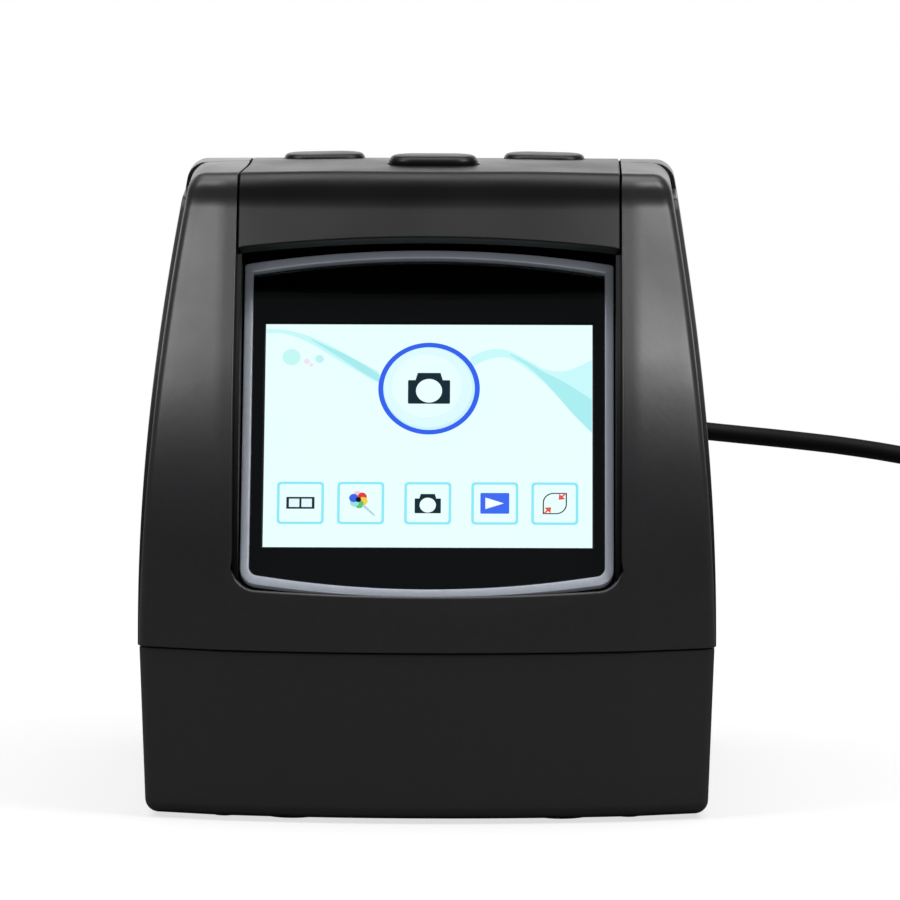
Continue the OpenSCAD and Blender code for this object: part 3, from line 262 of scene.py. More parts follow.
def tube(name, path, radius, sides, finish):
    """A closed tube along a path, with its rings square to it."""
    points, faces = [], []
    side = None
    for i, p in enumerate(path):
        ahead = path[min(i + 1, len(path) - 1)] - path[max(i - 1, 0)]
        ahead = ahead / np.linalg.norm(ahead)
        side = np.cross((0, 0, 1), ahead) if side is None else side - ahead * side.dot(ahead)
        side = side / np.linalg.norm(side)
        over = np.cross(ahead, side)
        for k in range(sides):
            a = 2 * math.pi * (k + 0.5) / sides
            points.append(p + radius * (math.cos(a) * side + math.sin(a) * over))
    for i in range(len(path) - 1):
        for k in range(sides):
            a, b = i * sides + k, i * sides + (k + 1) % sides
            faces.append((a, b, b + sides, a + sides))
    faces.append(tuple(range(sides - 1, -1, -1)))
    faces.append(tuple((len(path) - 1) * sides + k for k in range(sides)))
    return mesh_piece(name, points, faces, finish)


lead = tube("usb_lead", lead_path, CORD_D / 2, 14, FINISH["cord_jacket"])
print("lead mesh:", len(lead.data.polygons), "faces")

# %% [markdown]
# ## Curves of the body
# Seen from the front the sides lean in along a long arc, seen from the side the front stands upright,
# bends and leans back, and a shallow crease divides it from the brow. Each of those curves is one
# small function, in millimetres, and every skin below is made from them.

# %% Curves of the body
HALF_W, FRONT_Y, BACK_Y, SEAM_Z, TOP_Z = 43.0, -43.0, 43.0, 25.7, 94.4
BEND_Z, BEND_R, LEAN = 33.6, 62.0, math.radians(37)
CREASE_Z, BROW_LEAN, BROW_R, CREASE_FALL = 89.8, math.radians(12), 3.0, math.radians(6)
BOW_R, RIDGE_X, RIDGE_SOFT, FACET = 174.0, 31.2, 0.8, math.tan(math.radians(16.5))
SIDE_R, BACK_R, CROWN_R, ROOF_R, ROOF_Y = 363.0, 500.0, 715.0, 225.0, -5.2
bend_top = np.array((FRONT_Y + BEND_R * (1 - math.cos(LEAN)), BEND_Z + BEND_R * math.sin(LEAN)))
crease_y = bend_top[0] + (CREASE_Z - bend_top[1]) * math.tan(LEAN)


def soft_max(a, b, k):
    return 0.5 * (a + b + math.sqrt((a - b) ** 2 + k * k))


def bow(x):
    return BOW_R - math.sqrt(BOW_R**2 - min(abs(x), 60) ** 2)


def front_depth(x):
    """How far the front lies behind its middle line: a bow, then a flat facet past a soft ridge."""
    slope = RIDGE_X / math.sqrt(BOW_R**2 - RIDGE_X**2)
    past = abs(x) - RIDGE_X
    inner = bow(x) if past < 0 else bow(RIDGE_X) + past * slope
    over = max(past, 0) if abs(past) > RIDGE_SOFT else (past + RIDGE_SOFT) ** 2 / (4 * RIDGE_SOFT)
    return inner + over * (FACET - slope)


def side_x(z):
    return HALF_W - SIDE_R + math.sqrt(SIDE_R**2 - (z - SEAM_Z) ** 2)


def roof_z(x, y):
    """The roof falls a little to every side of its highest point."""
    across = CROWN_R - math.sqrt(CROWN_R**2 - x * x)
    along = ROOF_R - math.sqrt(ROOF_R**2 - (y - ROOF_Y) ** 2)
    return TOP_Z - (across**3 + along**3) ** (1 / 3)


def back_y(z):
    return BACK_Y - BACK_R + math.sqrt(BACK_R**2 - (z - SEAM_Z) ** 2)


def front_y(x, z):
    """The front below the crease at a height, by the depth of its bow there."""
    d = front_depth(x)
    if z <= BEND_Z:
        return FRONT_Y + d
    s = (z - BEND_Z) / (BEND_R - d)
    if s < math.sin(LEAN):
        return FRONT_Y + BEND_R - (BEND_R - d) * math.sqrt(1 - s * s)
    foot = bend_top + d * np.array((math.cos(LEAN), -math.sin(LEAN)))
    return foot[0] + (z - foot[1]) * math.tan(LEAN)


def front_lean(x, z):
    s = (z - BEND_Z) / (BEND_R - front_depth(x))
    return math.asin(min(max(s, 0), math.sin(LEAN)))


print("crease at", round(crease_y, 2), "side at the roof", round(side_x(TOP_Z), 2))

# %% [markdown]
# The upper part of an upright line over the front goes through the soft crease, up the flat band of the
# brow, round the brow and back over the roof. Both turns are arcs between two directions.


# %% The line over the brow
def arc(corner, first, second, radius, count):
    """Points, with their directions, of an arc that rounds a corner between two directions."""
    turn = math.acos(max(-1, min(1, float(first @ second))))
    reach = radius * math.tan(turn / 2)
    inward = second - first * (first @ second)
    inward = inward / np.linalg.norm(inward)
    start = corner - first * reach
    found = []
    for i in range(count):
        a = turn * i / (count - 1)
        found.append((start + radius * (math.sin(a) * first + (1 - math.cos(a)) * inward),
                      math.cos(a) * first + math.sin(a) * inward))
    return found


def remembered(line_at):
    """Keeps every line that a function of x has found, as neighbouring pieces ask for the same ones."""
    known = {}

    def look_up(x):
        key = round(x, 5)
        if key not in known:
            known[key] = line_at(x)
        return known[key]

    return look_up


CREASE_R, CREASE_STEPS, BROW_STEPS = 5.0, 9, 12


@remembered
def brow_line(x):
    """(y, z) and direction of the stations from the crease to the start of the roof at x."""
    d = front_depth(x)
    lean = np.array((math.sin(LEAN), math.cos(LEAN)))
    brow = np.array((math.sin(BROW_LEAN), math.cos(BROW_LEAN)))
    foot = bend_top + d * np.array((math.cos(LEAN), -math.sin(LEAN)))
    fall = math.tan(CREASE_FALL)
    w = (CREASE_Z - foot[1] - (foot[0] - crease_y) * fall) / (lean[1] + lean[0] * fall)
    crease = foot + w * lean
    w = 4.0
    for _ in range(8):
        w = (roof_z(x, crease[0] + w * brow[0]) - crease[1]) / brow[1]
    corner = crease + w * brow
    rise = (roof_z(x, corner[0] + 0.1) - roof_z(x, corner[0] - 0.1)) / 0.2
    ahead = np.array((1.0, rise)) / math.hypot(1, rise)
    return arc(crease, lean, brow, CREASE_R, CREASE_STEPS) + arc(corner, brow, ahead, BROW_R, BROW_STEPS)


print("brow starts at", brow_line(0)[0][0].round(2), "and ends at", brow_line(0)[-1][0].round(2))

# %% [markdown]
# ## Shells
# A moulded shell has an outer skin, an edge that turns in with a small radius, and a wall. Every shell
# here starts as a sheet of quads. The helper below rolls the sheet's open edges inwards, follows them
# with the wall's thickness, and closes the shell with an inner skin. The normals are kept from the
# sheet, so that the wide faces stay smooth right up to their edges.


# %% Sheets of quads
BODY_MIDDLE = np.array((0.0, 0.0, 50.0))


class Sheet:
    """A sheet of quads in millimetres, whose patches are joined where their points meet."""

    def __init__(self):
        self.points, self.faces, self.known = [], [], {}

    def point(self, p):
        key = tuple(round(float(c), 3) for c in p)
        if key not in self.known:
            self.known[key] = len(self.points)
            self.points.append(np.array(p, float))
        return self.known[key]

    def patch(self, rows):
        """Adds rows of points as quads that face away from the middle of the body."""
        ids = [[self.point(p) for p in row] for row in rows]
        quads = []
        for a, b in zip(ids, ids[1:]):
            for i in range(len(a) - 1):
                quad = [a[i], a[i + 1], b[i + 1], b[i]]
                quad = [q for n, q in enumerate(quad) if q != quad[n - 1]]
                if len(set(quad)) > 2:
                    quads.append(quad)
        score = 0.0
        for q in quads:
            p = [self.points[i] for i in q]
            n = np.cross(p[2] - p[0], p[-1] - p[1])
            score += float(n @ (p[0] - BODY_MIDDLE))
        self.faces += quads if score > 0 else [q[::-1] for q in quads]


def vertex_normals(points, faces):
    normals = np.zeros_like(points)
    for f in faces:
        n = np.cross(points[f[2]] - points[f[0]], points[f[-1]] - points[f[1]])
        for i in f:
            normals[i] += n
    size = np.linalg.norm(normals, axis=1)
    return normals / np.where(size > 0, size, 1)[:, None]


def open_edges(faces):
    """The next point along the open edge for every point on one."""
    directed = {(f[i - 1], f[i]) for f in faces for i in range(len(f))}
    return {a: b for a, b in directed if (b, a) not in directed}


# %% From a sheet to a shell
ROLL_STEPS = 4


def shell(name, sheet, finish, wall, edge):
    """A closed shell from a sheet. wall and edge are millimetres, or functions of a point."""
    points = np.array(sheet.points)
    faces = sheet.faces
    normals = vertex_normals(points, faces)
    walls = np.array([wall(p) if callable(wall) else wall for p in points])
    after = open_edges(faces)
    before = {b: a for a, b in after.items()}
    out_points, out_normals = list(points), list(normals)
    rolls = {}
    for i, j in after.items():
        h = before[i]
        one = np.cross(points[i] - points[h], normals[i])
        two = np.cross(points[j] - points[i], normals[i])
        one, two = one / np.linalg.norm(one), two / np.linalg.norm(two)
        out = one + two
        out = out / np.linalg.norm(out)
        mitre = 1 / max(float(out @ one), 0.72)
        r = edge(points[i]) if callable(edge) else edge
        base = points[i] - out * r * mitre
        out_points[i] = base
        ring = [i]
        for k in range(1, ROLL_STEPS + 1):
            a = math.pi / 2 * k / ROLL_STEPS
            ring.append(len(out_points))
            out_points.append(base + out * r * mitre * math.sin(a) - normals[i] * r * (1 - math.cos(a)))
            out_normals.append(normals[i] * math.cos(a) + out * math.sin(a))
        ring.append(len(out_points))
        out_points.append(base + out * r * mitre - normals[i] * walls[i])
        out_normals.append(out)
        rolls[i] = ring
    all_faces = [list(f) for f in faces]
    for i, j in after.items():
        for k in range(ROLL_STEPS + 1):
            all_faces.append([rolls[j][k], rolls[i][k], rolls[i][k + 1], rolls[j][k + 1]])
    inner = {}
    for i in range(len(points)):
        inner[i] = len(out_points)
        out_points.append(out_points[rolls[i][-1]] if i in rolls else points[i] - normals[i] * walls[i])
        out_normals.append(-normals[i])
    all_faces += [[inner[i] for i in reversed(f)] for f in faces]
    made = mesh_piece(name, out_points, all_faces, finish, out_normals)
    print(name, len(all_faces), "faces, open edges", len(after))
    return made


# %% Rounded edges and holes in a sheet
def steps(a, b, count):
    return [a + (b - a) * i / count for i in range(count + 1)]


def quarter(r, count, share=1.0):
    """Steps round a quarter circle from an upright side, each as how far in and how far down it lies."""
    return [(r * (1 - math.cos(a)), r * (1 - math.sin(a))) for a in steps(0, math.pi / 2 * share, count)]


def hole_outline(a, b, r, nx, ny, turn=0.0):
    """A rounded rectangle as four sides of nx, ny, nx, ny parts, from its lower left corner."""
    r = min(r, a, b)

    def side(half, other, count):
        bend, flat = r * math.pi / 4, max(half - r, 0.0)
        k = min(max(round(count * bend / (2 * bend + 2 * flat)), 2), count // 2)
        path = []
        for i in range(count + 1):
            if i <= k:
                t = math.pi / 4 * (1 - i / k)
                path.append((-flat - r * math.sin(t), -(other - r) - r * math.cos(t)))
            elif i >= count - k:
                t = math.pi / 4 * (1 - (count - i) / k)
                path.append((flat + r * math.sin(t), -(other - r) - r * math.cos(t)))
            else:
                path.append((-flat + 2 * flat * (i - k) / (count - 2 * k), -other))
        return path

    lower, up_side = side(a, b, nx), side(b, a, ny)
    loop = lower[:-1] + [(-q, p) for p, q in up_side[:-1]]
    loop += [(-p, -q) for p, q in lower[:-1]] + [(q, -p) for p, q in up_side[:-1]]
    c, s = math.cos(turn), math.sin(turn)
    return [(p * c - q * s, p * s + q * c) for p, q in loop]


def ring_rows(us, vs, centre, outline, place, rings=5):
    """Rows of points from the edge of a block, whose sides are us and vs, in to a hole's outline."""
    block = [(u, vs[0]) for u in us[:-1]] + [(us[-1], v) for v in vs[:-1]]
    block += [(u, vs[-1]) for u in us[:0:-1]] + [(us[0], v) for v in vs[:0:-1]]
    rows = []
    for k in range(rings + 1):
        t = 1 - (1 - k / rings) ** 1.3
        row = [place(u + (centre[0] + p - u) * t, v + (centre[1] + q - v) * t)
               for (u, v), (p, q) in zip(block, outline)]
        rows.append(row + row[:1])
    return rows


def cells(values, lo, hi):
    """The index range of a block in a list of grid lines."""
    near = [min(range(len(values)), key=lambda i: abs(values[i] - w)) for w in (lo, hi)]
    return near[0], near[1]


def grid_with_holes(sheet, us, vs, place, holes):
    """A grid over us and vs with blocks of cells replaced by rings round holes."""
    taken = []
    for lo_u, hi_u, lo_v, hi_v, centre, a, b, r, turn in holes:
        i0, i1 = cells(us, lo_u, hi_u)
        j0, j1 = cells(vs, lo_v, hi_v)
        taken.append((i0, i1, j0, j1))
        outline = hole_outline(a, b, r, i1 - i0, j1 - j0, turn)
        sheet.patch(ring_rows(us[i0:i1 + 1], vs[j0:j1 + 1], centre, outline, place))
    for j in range(len(vs) - 1):
        start = 0
        for i in range(len(us)):
            inside = any(i0 <= i < i1 and j0 <= j < j1 for i0, i1, j0, j1 in taken)
            if inside or i == len(us) - 1:
                if i > start:
                    sheet.patch([[place(u, v) for u in us[start:i + 1]] for v in vs[j:j + 2]])
                start = i + 1


# %% [markdown]
# ## Screen frame of reference
# The screen leans back on its own plane. Points on it are given as x across, y up the screen and a
# lift out of it.

# %% Points on the screen
SCREEN_AT = np.array((0.0, -26.9, 56.2))
SCREEN_LEAN = math.radians(32.5)
screen_up = np.array((0, math.sin(SCREEN_LEAN), math.cos(SCREEN_LEAN)))
screen_out = np.array((0, -math.cos(SCREEN_LEAN), math.sin(SCREEN_LEAN)))


def on_screen(x, y, lift):
    return SCREEN_AT + np.array((x, 0, 0)) + y * screen_up + lift * screen_out


def up_screen(p):
    return float((np.array(p) - SCREEN_AT) @ screen_up)


OPEN_HALF, OPEN_LOW, ARCH, OPEN_R = 28.9, -25.3, 2.4, 3.3
DISH_SHARE, PARALLAX = 0.2, 0.45


def opening_low(x):
    """Lower edge of the opening, up the screen, with its rounded corners."""
    t = min(abs(x) / OPEN_HALF, 1)
    low = OPEN_LOW - ARCH * (1 - t * t)
    over = abs(x) - (OPEN_HALF - OPEN_R)
    if over > 0:
        low += OPEN_R - math.sqrt(max(OPEN_R**2 - over**2, 0))
    return low


def chin_y(x, z):
    """The front with the shallow dish under the screen, which starts where the screen's plane leaves it."""
    face = front_y(x, z)
    plane = SCREEN_AT[1] + (z - SCREEN_AT[2]) * math.tan(SCREEN_LEAN)
    return face + DISH_SHARE * (soft_max(0, plane - face, 0.2) - 0.02)


def height_at(x, target, surface):
    """The height at which a surface reaches a place up the screen."""
    low, high = 20.0, 95.0
    for _ in range(40):
        mid = (low + high) / 2
        if up_screen((x, surface(x, mid), mid)) < target:
            low = mid
        else:
            high = mid
    return (low + high) / 2


print("chin's top edge in the middle:", round(height_at(0, opening_low(0), chin_y), 2))

# %% [markdown]
# ## Front housing
# Two pillars and a chin in one moulding. It is drawn as upright lines: straight columns on the
# pillars, which run from the seam up over the brow and the roof to the joint behind it, and shorter
# ones on the chin. At each side the skin turns round a soft edge into a narrow side strip, which ends
# at the joint with the rear housing.

# %% Front housing: stations
PART_DEPTH, PART_Y, STEP_LOW, STEP_IN, STEP_RISE = 7.4, 7.0, 0.15, 0.65, 30
EDGE_R = 1.1
SLOT_HALF, COVER_BEND = 28.9, 1.4
FRONT_ROWS, CHIN_ROWS = 44, 10
pillar_foot = height_at(OPEN_HALF, opening_low(OPEN_HALF), front_y)
ROOF_FROM = -6.5
roof_rows_front = steps(ROOF_FROM, PART_Y, 8)[1:]


def cover_shift(y):
    """How far the left edge of the top cover has bent in at a place on the roof."""
    ys = (-13.4, -9.9, -5.9, -0.9, 4.1, 11.1)
    shares = (0, 0.18, 0.46, 0.8, 0.96, 1)
    return COVER_BEND * float(np.interp(y, ys, shares))


@remembered
def stations(x):
    """(y, z, inward direction) up one line at x: the leaning front, the crease, the brow, the roof."""
    line = brow_line(x)
    found = []
    for z in steps(SEAM_Z, pillar_foot, CHIN_ROWS)[:-1] + steps(pillar_foot, line[0][0][1], FRONT_ROWS)[:-1]:
        lean = front_lean(x, z)
        found.append((front_y(x, z), z, math.cos(lean), -math.sin(lean)))
    for p, way in line:
        found.append((p[0], p[1], way[1], -way[0]))
    end = line[-1][0][0]
    for y in steps(end, ROOF_FROM, 2)[1:] + roof_rows_front:
        found.append((y, roof_z(x, y), 0.0, -1.0))
    return found


STATION_COUNT = len(stations(0.0))
CREASE_AT = CHIN_ROWS + FRONT_ROWS
ROOF_AT = CREASE_AT + CREASE_STEPS + BROW_STEPS - 1


def front_side(z):
    """The side of the front housing, which stands in a little from the rear housing's."""
    return side_x(z) - STEP_LOW - (STEP_IN - STEP_LOW) * min(1, max(0, (z - SEAM_Z) / STEP_RISE))


def edge_radius(k):
    """The soft edge at the side is twice as round on the roof as on the leaning front."""
    return EDGE_R * (1 + min(1, max(0, (k - CREASE_AT) / (ROOF_AT - CREASE_AT))))


print("stations on a pillar:", STATION_COUNT, "pillar foot at", round(pillar_foot, 2))


# %% Front housing: pillar columns and side strip
def pillar_point(k, x):
    y, z, _, _ = stations(x)[k]
    return np.array((x, y, z))


def soft_corner(k, angle, r, lines, side_at, rounds):
    """A point on the soft edge between the surface of the lines and a side, at station k."""
    u, v = r * (math.sin(angle) - 1), r * (math.cos(angle) - 1)
    z = lines(36.0)[k][1]
    for _ in range(rounds):
        x = side_at(z) + u
        y0, z0, ny, nz = lines(x)[k]
        y, z = y0 - v * ny, z0 - v * nz
    return np.array((x, y, z))


def rolled_side(k, angle):
    return soft_corner(k, angle, edge_radius(k), stations, front_side, 6)


def joint_line(depth):
    """The joint with the rear housing on the side, as (y, z) from the seam up to the brow."""
    path = [(FRONT_Y + depth, SEAM_Z)]
    for z in steps(BEND_Z, brow_line(0)[0][0][1], 30):
        lean = front_lean(0, z)
        path.append((front_y(0, z) + depth * math.cos(lean), z - depth * math.sin(lean)))
    return path


low_end = joint_line(PART_DEPTH)[-1]
bend_y = low_end[0] + (CREASE_Z - low_end[1]) * math.tan(LEAN)
upper_parts = [low_end, (bend_y, CREASE_Z), (PART_Y, CREASE_Z)]


def along(path, share):
    """The point at a share of a polyline's length."""
    path = [np.array(p, float) for p in path]
    spans = [np.linalg.norm(b - a) for a, b in zip(path, path[1:])]
    left = share * sum(spans)
    for a, b, span in zip(path, path[1:], spans):
        if left <= span:
            return a + (b - a) * left / span
        left -= span
    return path[-1]


turn_row = next(k for k in range(CREASE_AT, STATION_COUNT) if rolled_side(k, math.pi / 2)[2] > CREASE_Z + 0.2)


def side_target(k):
    """The far end of the side strip at station k. It turns its corner above the joint's own height."""
    if k <= CREASE_AT:
        return along(joint_line(PART_DEPTH), k / CREASE_AT)
    if k <= turn_row:
        return along(upper_parts[:2], (k - CREASE_AT) / (turn_row - CREASE_AT))
    return along(upper_parts[1:], (k - turn_row) / (STATION_COUNT - 1 - turn_row))


ROLL_ANGLES = steps(0, math.pi / 2, 6)
FACET_END, FACET_LINES = 32.6, (41, 39, 37, 35.4, 34, 33)
RIDGE_LINES = [32.3, 31.9, 31.6, 31.2, 30.8, 30.5, 30.1, 29.6]


def side_strip(start, target, side_at, count):
    """Points on a side from its joint, at (y, z), towards the start of its soft edge."""
    strip = []
    for t in steps(1, 0, count)[:-1]:
        y = start[1] + (target[0] - start[1]) * t
        z = start[2] + (target[1] - start[2]) * t
        strip.append(np.array((side_at(z), y, z)))
    return strip


def pillar_row(k, side):
    """One row of the pillar, from the joint on the side to its inner edge."""
    edge = [rolled_side(k, a) for a in ROLL_ANGLES]
    strip = side_strip(edge[-1], side_target(k), front_side, 4)
    y_here = stations(SLOT_HALF)[k][0]
    inner = SLOT_HALF - (cover_shift(y_here) if side < 0 and k > CREASE_AT else 0)
    outer = edge[0][0]
    lines = [outer + (w - HALF_W) * (outer - FACET_END) / (HALF_W - FACET_END) for w in FACET_LINES]
    lines += RIDGE_LINES + [inner]
    row = strip + edge[::-1] + [pillar_point(k, w) for w in lines]
    return [np.array((p[0] * side, p[1], p[2])) for p in row]


front = Sheet()
for side in (1, -1):
    front.patch([pillar_row(k, side) for k in range(STATION_COUNT)])

# %% Front housing: chin
corner_lines = [OPEN_HALF - far_in for far_in, _ in quarter(OPEN_R, 8)]
chin_lines = corner_lines + steps(corner_lines[-1], 0, 22)[1:]
chin_lines = chin_lines + [-x for x in chin_lines[-2::-1]]


def chin_column(x):
    top = pillar_foot
    for _ in range(4 if abs(x) < OPEN_HALF - 1e-6 else 0):
        lift = float((np.array((x, chin_y(x, top), top)) - SCREEN_AT) @ screen_out)
        top = height_at(x, opening_low(x) + PARALLAX * max(lift, 0) * min(1, (OPEN_HALF - abs(x)) / 3), chin_y)
    column = []
    for t in steps(0, 1, CHIN_ROWS):
        z = SEAM_Z + (top - SEAM_Z) * t
        floor = front_y if abs(x) > OPEN_HALF - 1e-6 else chin_y
        column.append(np.array((x, floor(x, z), z)))
    return column


columns = [chin_column(x) for x in chin_lines]
front.patch([[column[j] for column in columns] for j in range(CHIN_ROWS + 1)])


def front_edge(p):
    """The edge is softest at the lower corners of the opening, and fine along the joints."""
    inner, below = abs(p[0]) < OPEN_HALF + 0.6 and p[2] > SEAM_Z + 2, CREASE_Z - 8 - p[2]
    if inner and below > 0:
        return 0.2 + 0.22 * min(1, below / 30)
    return 0.16


def front_wall(p):
    near_side = abs(p[0]) > front_side(p[2]) - 1.6
    return 0.9 if near_side else 1.6


front_housing = shell("front_housing_shell", front, FINISH["housing"], front_wall, front_edge)

# %% [markdown]
# ## Top cover
# The centre strip over the brow is a separate, slightly darker moulding with three holes for the keys.
# Its sheet is a grid on the roof. The cells round each key are taken out and replaced by a ring of
# quads that ends in the key's own outline, so the hole is true and its edge can be rolled.

# %% Top cover
COVER_HALF, COVER_BACK, COVER_R = 28.6, 30.0, 1.8
BUTTON_W, BUTTON_GAP, OK_L, ARROW_L, ARROW_TURN = 7.2, 0.3, 13.4, 12.4, math.radians(12)
OK_AT, LEFT_AT, RIGHT_AT = (0.5, -2.6), (-16.25, 12.0), (17.25, 12.0)
COVER_FROM = -8.2
COVER_LOW, COVER_ARCH, COVER_SPAN = 27.3, 0.8, 30.9
corner_steps = [far_in for far_in, _ in quarter(COVER_R, 5)]
cover_us = [s - COVER_HALF for s in corner_steps] + [-25.6]
cover_us += steps(-24.5, -8.5, 16) + steps(-8.5, 9.5, 18)[1:] + steps(9.5, 25.5, 16)[1:]
cover_us += [26.1] + [COVER_HALF - s for s in corner_steps[::-1]]
cover_vs = steps(COVER_FROM, 3.0, 11) + [4.2] + steps(5.5, 18.5, 13) + steps(18.5, COVER_BACK - COVER_R, 8)[1:]
BEND_FROM, BEND_SPAN = -24.5, 2.3


def bent(u, y, share=1.0):
    """A line of the cover at a place on the roof, where the left edge bends in."""
    return u + cover_shift(y) * min(1, max(0, (BEND_FROM - u) / BEND_SPAN)) * share


def cover_place(u, v):
    x = bent(u, v)
    return np.array((x, v, roof_z(x, v)))


def cover_rows(u):
    """The rows of the cover in front of the roof: the leaning part, the crease and the brow."""
    x = u
    for _ in range(3):
        low = height_at(x, COVER_LOW + COVER_ARCH * (1 - (x / COVER_SPAN) ** 2), front_y)
        line = brow_line(x)
        found = [(front_y(x, z), z) for z in steps(low, line[0][0][1], 10)[:-1]]
        found += [(p[0], p[1]) for p, _ in line]
        end = line[-1][0][0]
        found += [(y, roof_z(x, y)) for y in steps(end, COVER_FROM, 2)[1:-1]]
        x = bent(u, found[-1][0], 0.5)
    return [np.array((bent(u, y), y, z)) for y, z in found]


def cover_end(u):
    off = max(abs(u) - (COVER_HALF - COVER_R), 0)
    return COVER_BACK - (COVER_R - math.sqrt(max(COVER_R**2 - off**2, 0)))


cover = Sheet()
lines = [cover_rows(u) + [cover_place(u, COVER_FROM)] for u in cover_us]
cover.patch([[line[j] for line in lines] for j in range(len(lines[0]))])
half_hole = BUTTON_W / 2 + BUTTON_GAP
grid_with_holes(cover, cover_us, cover_vs, cover_place, [
    (-8.5, 9.5, COVER_FROM, 3.0, OK_AT, OK_L / 2 + BUTTON_GAP, half_hole, half_hole, 0),
    (-24.5, -8.5, 5.5, 18.5, LEFT_AT, ARROW_L / 2 + BUTTON_GAP, half_hole, half_hole, ARROW_TURN),
    (9.5, 25.5, 5.5, 18.5, RIGHT_AT, ARROW_L / 2 + BUTTON_GAP, half_hole, half_hole, -ARROW_TURN)])
ends = [[cover_place(u, v) for u, v in zip(cover_us, row)]
        for row in zip(*[steps(cover_vs[-1], max(cover_end(u), cover_vs[-1] + 1e-6), 2) for u in cover_us])]
cover.patch(ends)


def cover_edge(p):
    return 0.3 if up_screen(p) < 29 and abs(p[0]) < COVER_HALF - 0.5 else 0.14


top_cover = shell("top_cover_shell", cover, FINISH["cover"], 1.7, cover_edge)

# %% [markdown]
# ## Rear housing
# The back half is one deep moulding: roof, rounded rump, back and both sides. Its upright corners are
# rounded far more than the front's, and the radius grows on the way down over the rump. The sockets,
# the card slot and the power key each get a true opening.

# %% Rear housing: stations
REAR_FROM, SLOT_BACK, SLOT_R, RUMP_R, SNUG = PART_Y + 0.1, 30.3, 2.0, 6.6, 0.1
rear_back_zs = steps(SEAM_Z, 40, 6) + steps(40, 52, 10)[1:] + steps(52, 59.5, 4)[1:] + steps(59.5, 72.5, 10)[1:]
A_ROWS, B_ROWS, C_ROWS, D_TOP = 10, 2, 10, 6
OUTER, FIXED = 33.0, 31.5
POWER_AT, POWER_R, POWER_GAP = (-22.0, 66.0), 4.0, 0.3


def rump(x, angle):
    u, v = RUMP_R * (math.sin(angle) - 1), RUMP_R * (math.cos(angle) - 1)
    y, z = 38.0, 90.0
    for _ in range(6):
        z = roof_z(x, y) + v
        y = back_y(z) + u
    return y, z, -math.sin(angle), -math.cos(angle)


@remembered
def rear_at(x):
    """(y, z, inward direction) over the rear roof, round the rump and down the back at x."""
    start, end = rump(x, 0), rump(x, math.pi / 2)
    found = [(y, roof_z(x, y), 0.0, -1.0) for y in steps(REAR_FROM, SLOT_BACK - SLOT_R, A_ROWS)]
    found += [(y, roof_z(x, y), 0.0, -1.0) for y in steps(SLOT_BACK - SLOT_R, start[0], B_ROWS)[1:]]
    found += [rump(x, a) for a in steps(0, math.pi / 2, C_ROWS)[1:]]
    zs = steps(end[1], rear_back_zs[-1], D_TOP)[1:] + rear_back_zs[-2::-1]
    found += [(back_y(z), z, -1.0, 0.0) for z in zs]
    return found


REAR_COUNT = len(rear_at(0.0))
RUMP_END = A_ROWS + B_ROWS + C_ROWS


def rear_radius(k):
    """The upright corners round in towards a fixed line, so they are widest at the seam."""
    if k >= RUMP_END:
        return side_x(rear_at(OUTER)[k][1]) - OUTER
    last = side_x(rear_at(OUTER)[RUMP_END][1]) - OUTER
    return float(np.interp(k, (0, A_ROWS, A_ROWS + B_ROWS, RUMP_END), (2.2, 2.4, 2.8, last)))


def rear_corner(k, angle):
    return soft_corner(k, angle, rear_radius(k), rear_at, side_x, 8)


# %% Rear housing: sides
fore_joint = joint_line(PART_DEPTH + SNUG)
under_brow = (bend_y + SNUG, CREASE_Z - SNUG)
corner = (REAR_FROM, CREASE_Z - SNUG)
rear_turn = max(k for k in range(REAR_COUNT) if rear_corner(k, math.pi / 2)[2] > CREASE_Z - SNUG - 0.3)


def rear_target(k):
    """Where row k of the side meets the joint. Rows above the joint's height fan out from its corner."""
    if k <= rear_turn:
        return np.array(corner)
    return along([corner, under_brow] + fore_joint[::-1], (k - rear_turn) / (REAR_COUNT - 1 - rear_turn))


SIDE_CELLS = 12


def rear_side_row(k, side):
    edge = [rear_corner(k, a) for a in steps(0, math.pi / 2, 8)]
    strip = side_strip(edge[-1], rear_target(k), side_x, SIDE_CELLS)
    return [np.array((p[0] * side, p[1], p[2])) for p in strip + edge[::-1]]


rear = Sheet()
for side in (1, -1):
    rear.patch([rear_side_row(k, side) for k in range(REAR_COUNT)])

# %% Rear housing: roof, rump and back
slot_left, slot_right = COVER_BEND - SLOT_HALF, SLOT_HALF
slot_steps = [far_in for far_in, _ in quarter(SLOT_R, 5)]
left_us = [-OUTER, -32.2, -FIXED, -30.2, -28.85, slot_left]
right_us = [slot_right, 30.2, FIXED, 32.2, OUTER]
mid_us = [slot_left + s for s in slot_steps] + steps(slot_left + SLOT_R, -16.5, 5)[1:]
mid_us += steps(-16.5, -4.4, 9)[1:] + steps(-4.4, 3.6, 8)[1:] + steps(3.6, 20.4, 12)[1:]
mid_us += steps(20.4, slot_right - SLOT_R, 4)[1:] + [slot_right - s for s in slot_steps[::-1]][1:]


def rear_x(u, k):
    """A nominal line across the back as the real x at station k."""
    if abs(u) > FIXED:
        edge = rear_corner(k, 0)[0]
        return math.copysign(FIXED + (abs(u) - FIXED) / (OUTER - FIXED) * (edge - FIXED), u)
    if u < slot_left + 1e-6 and k <= A_ROWS:
        lag = COVER_BEND - cover_shift(rear_at(0.0)[k][0])
        return u - lag * min(1, max(0, (u + FIXED) / (slot_left + FIXED)))
    return u


def rear_point(u, k):
    x = rear_x(u, k)
    y, z, _, _ = rear_at(x)[k]
    return np.array((x, y, z))


for us in (left_us, right_us):
    for rows in (range(A_ROWS + 1), range(A_ROWS, A_ROWS + B_ROWS + 1)):
        rear.patch([[rear_point(u, k) for u in us] for k in rows])


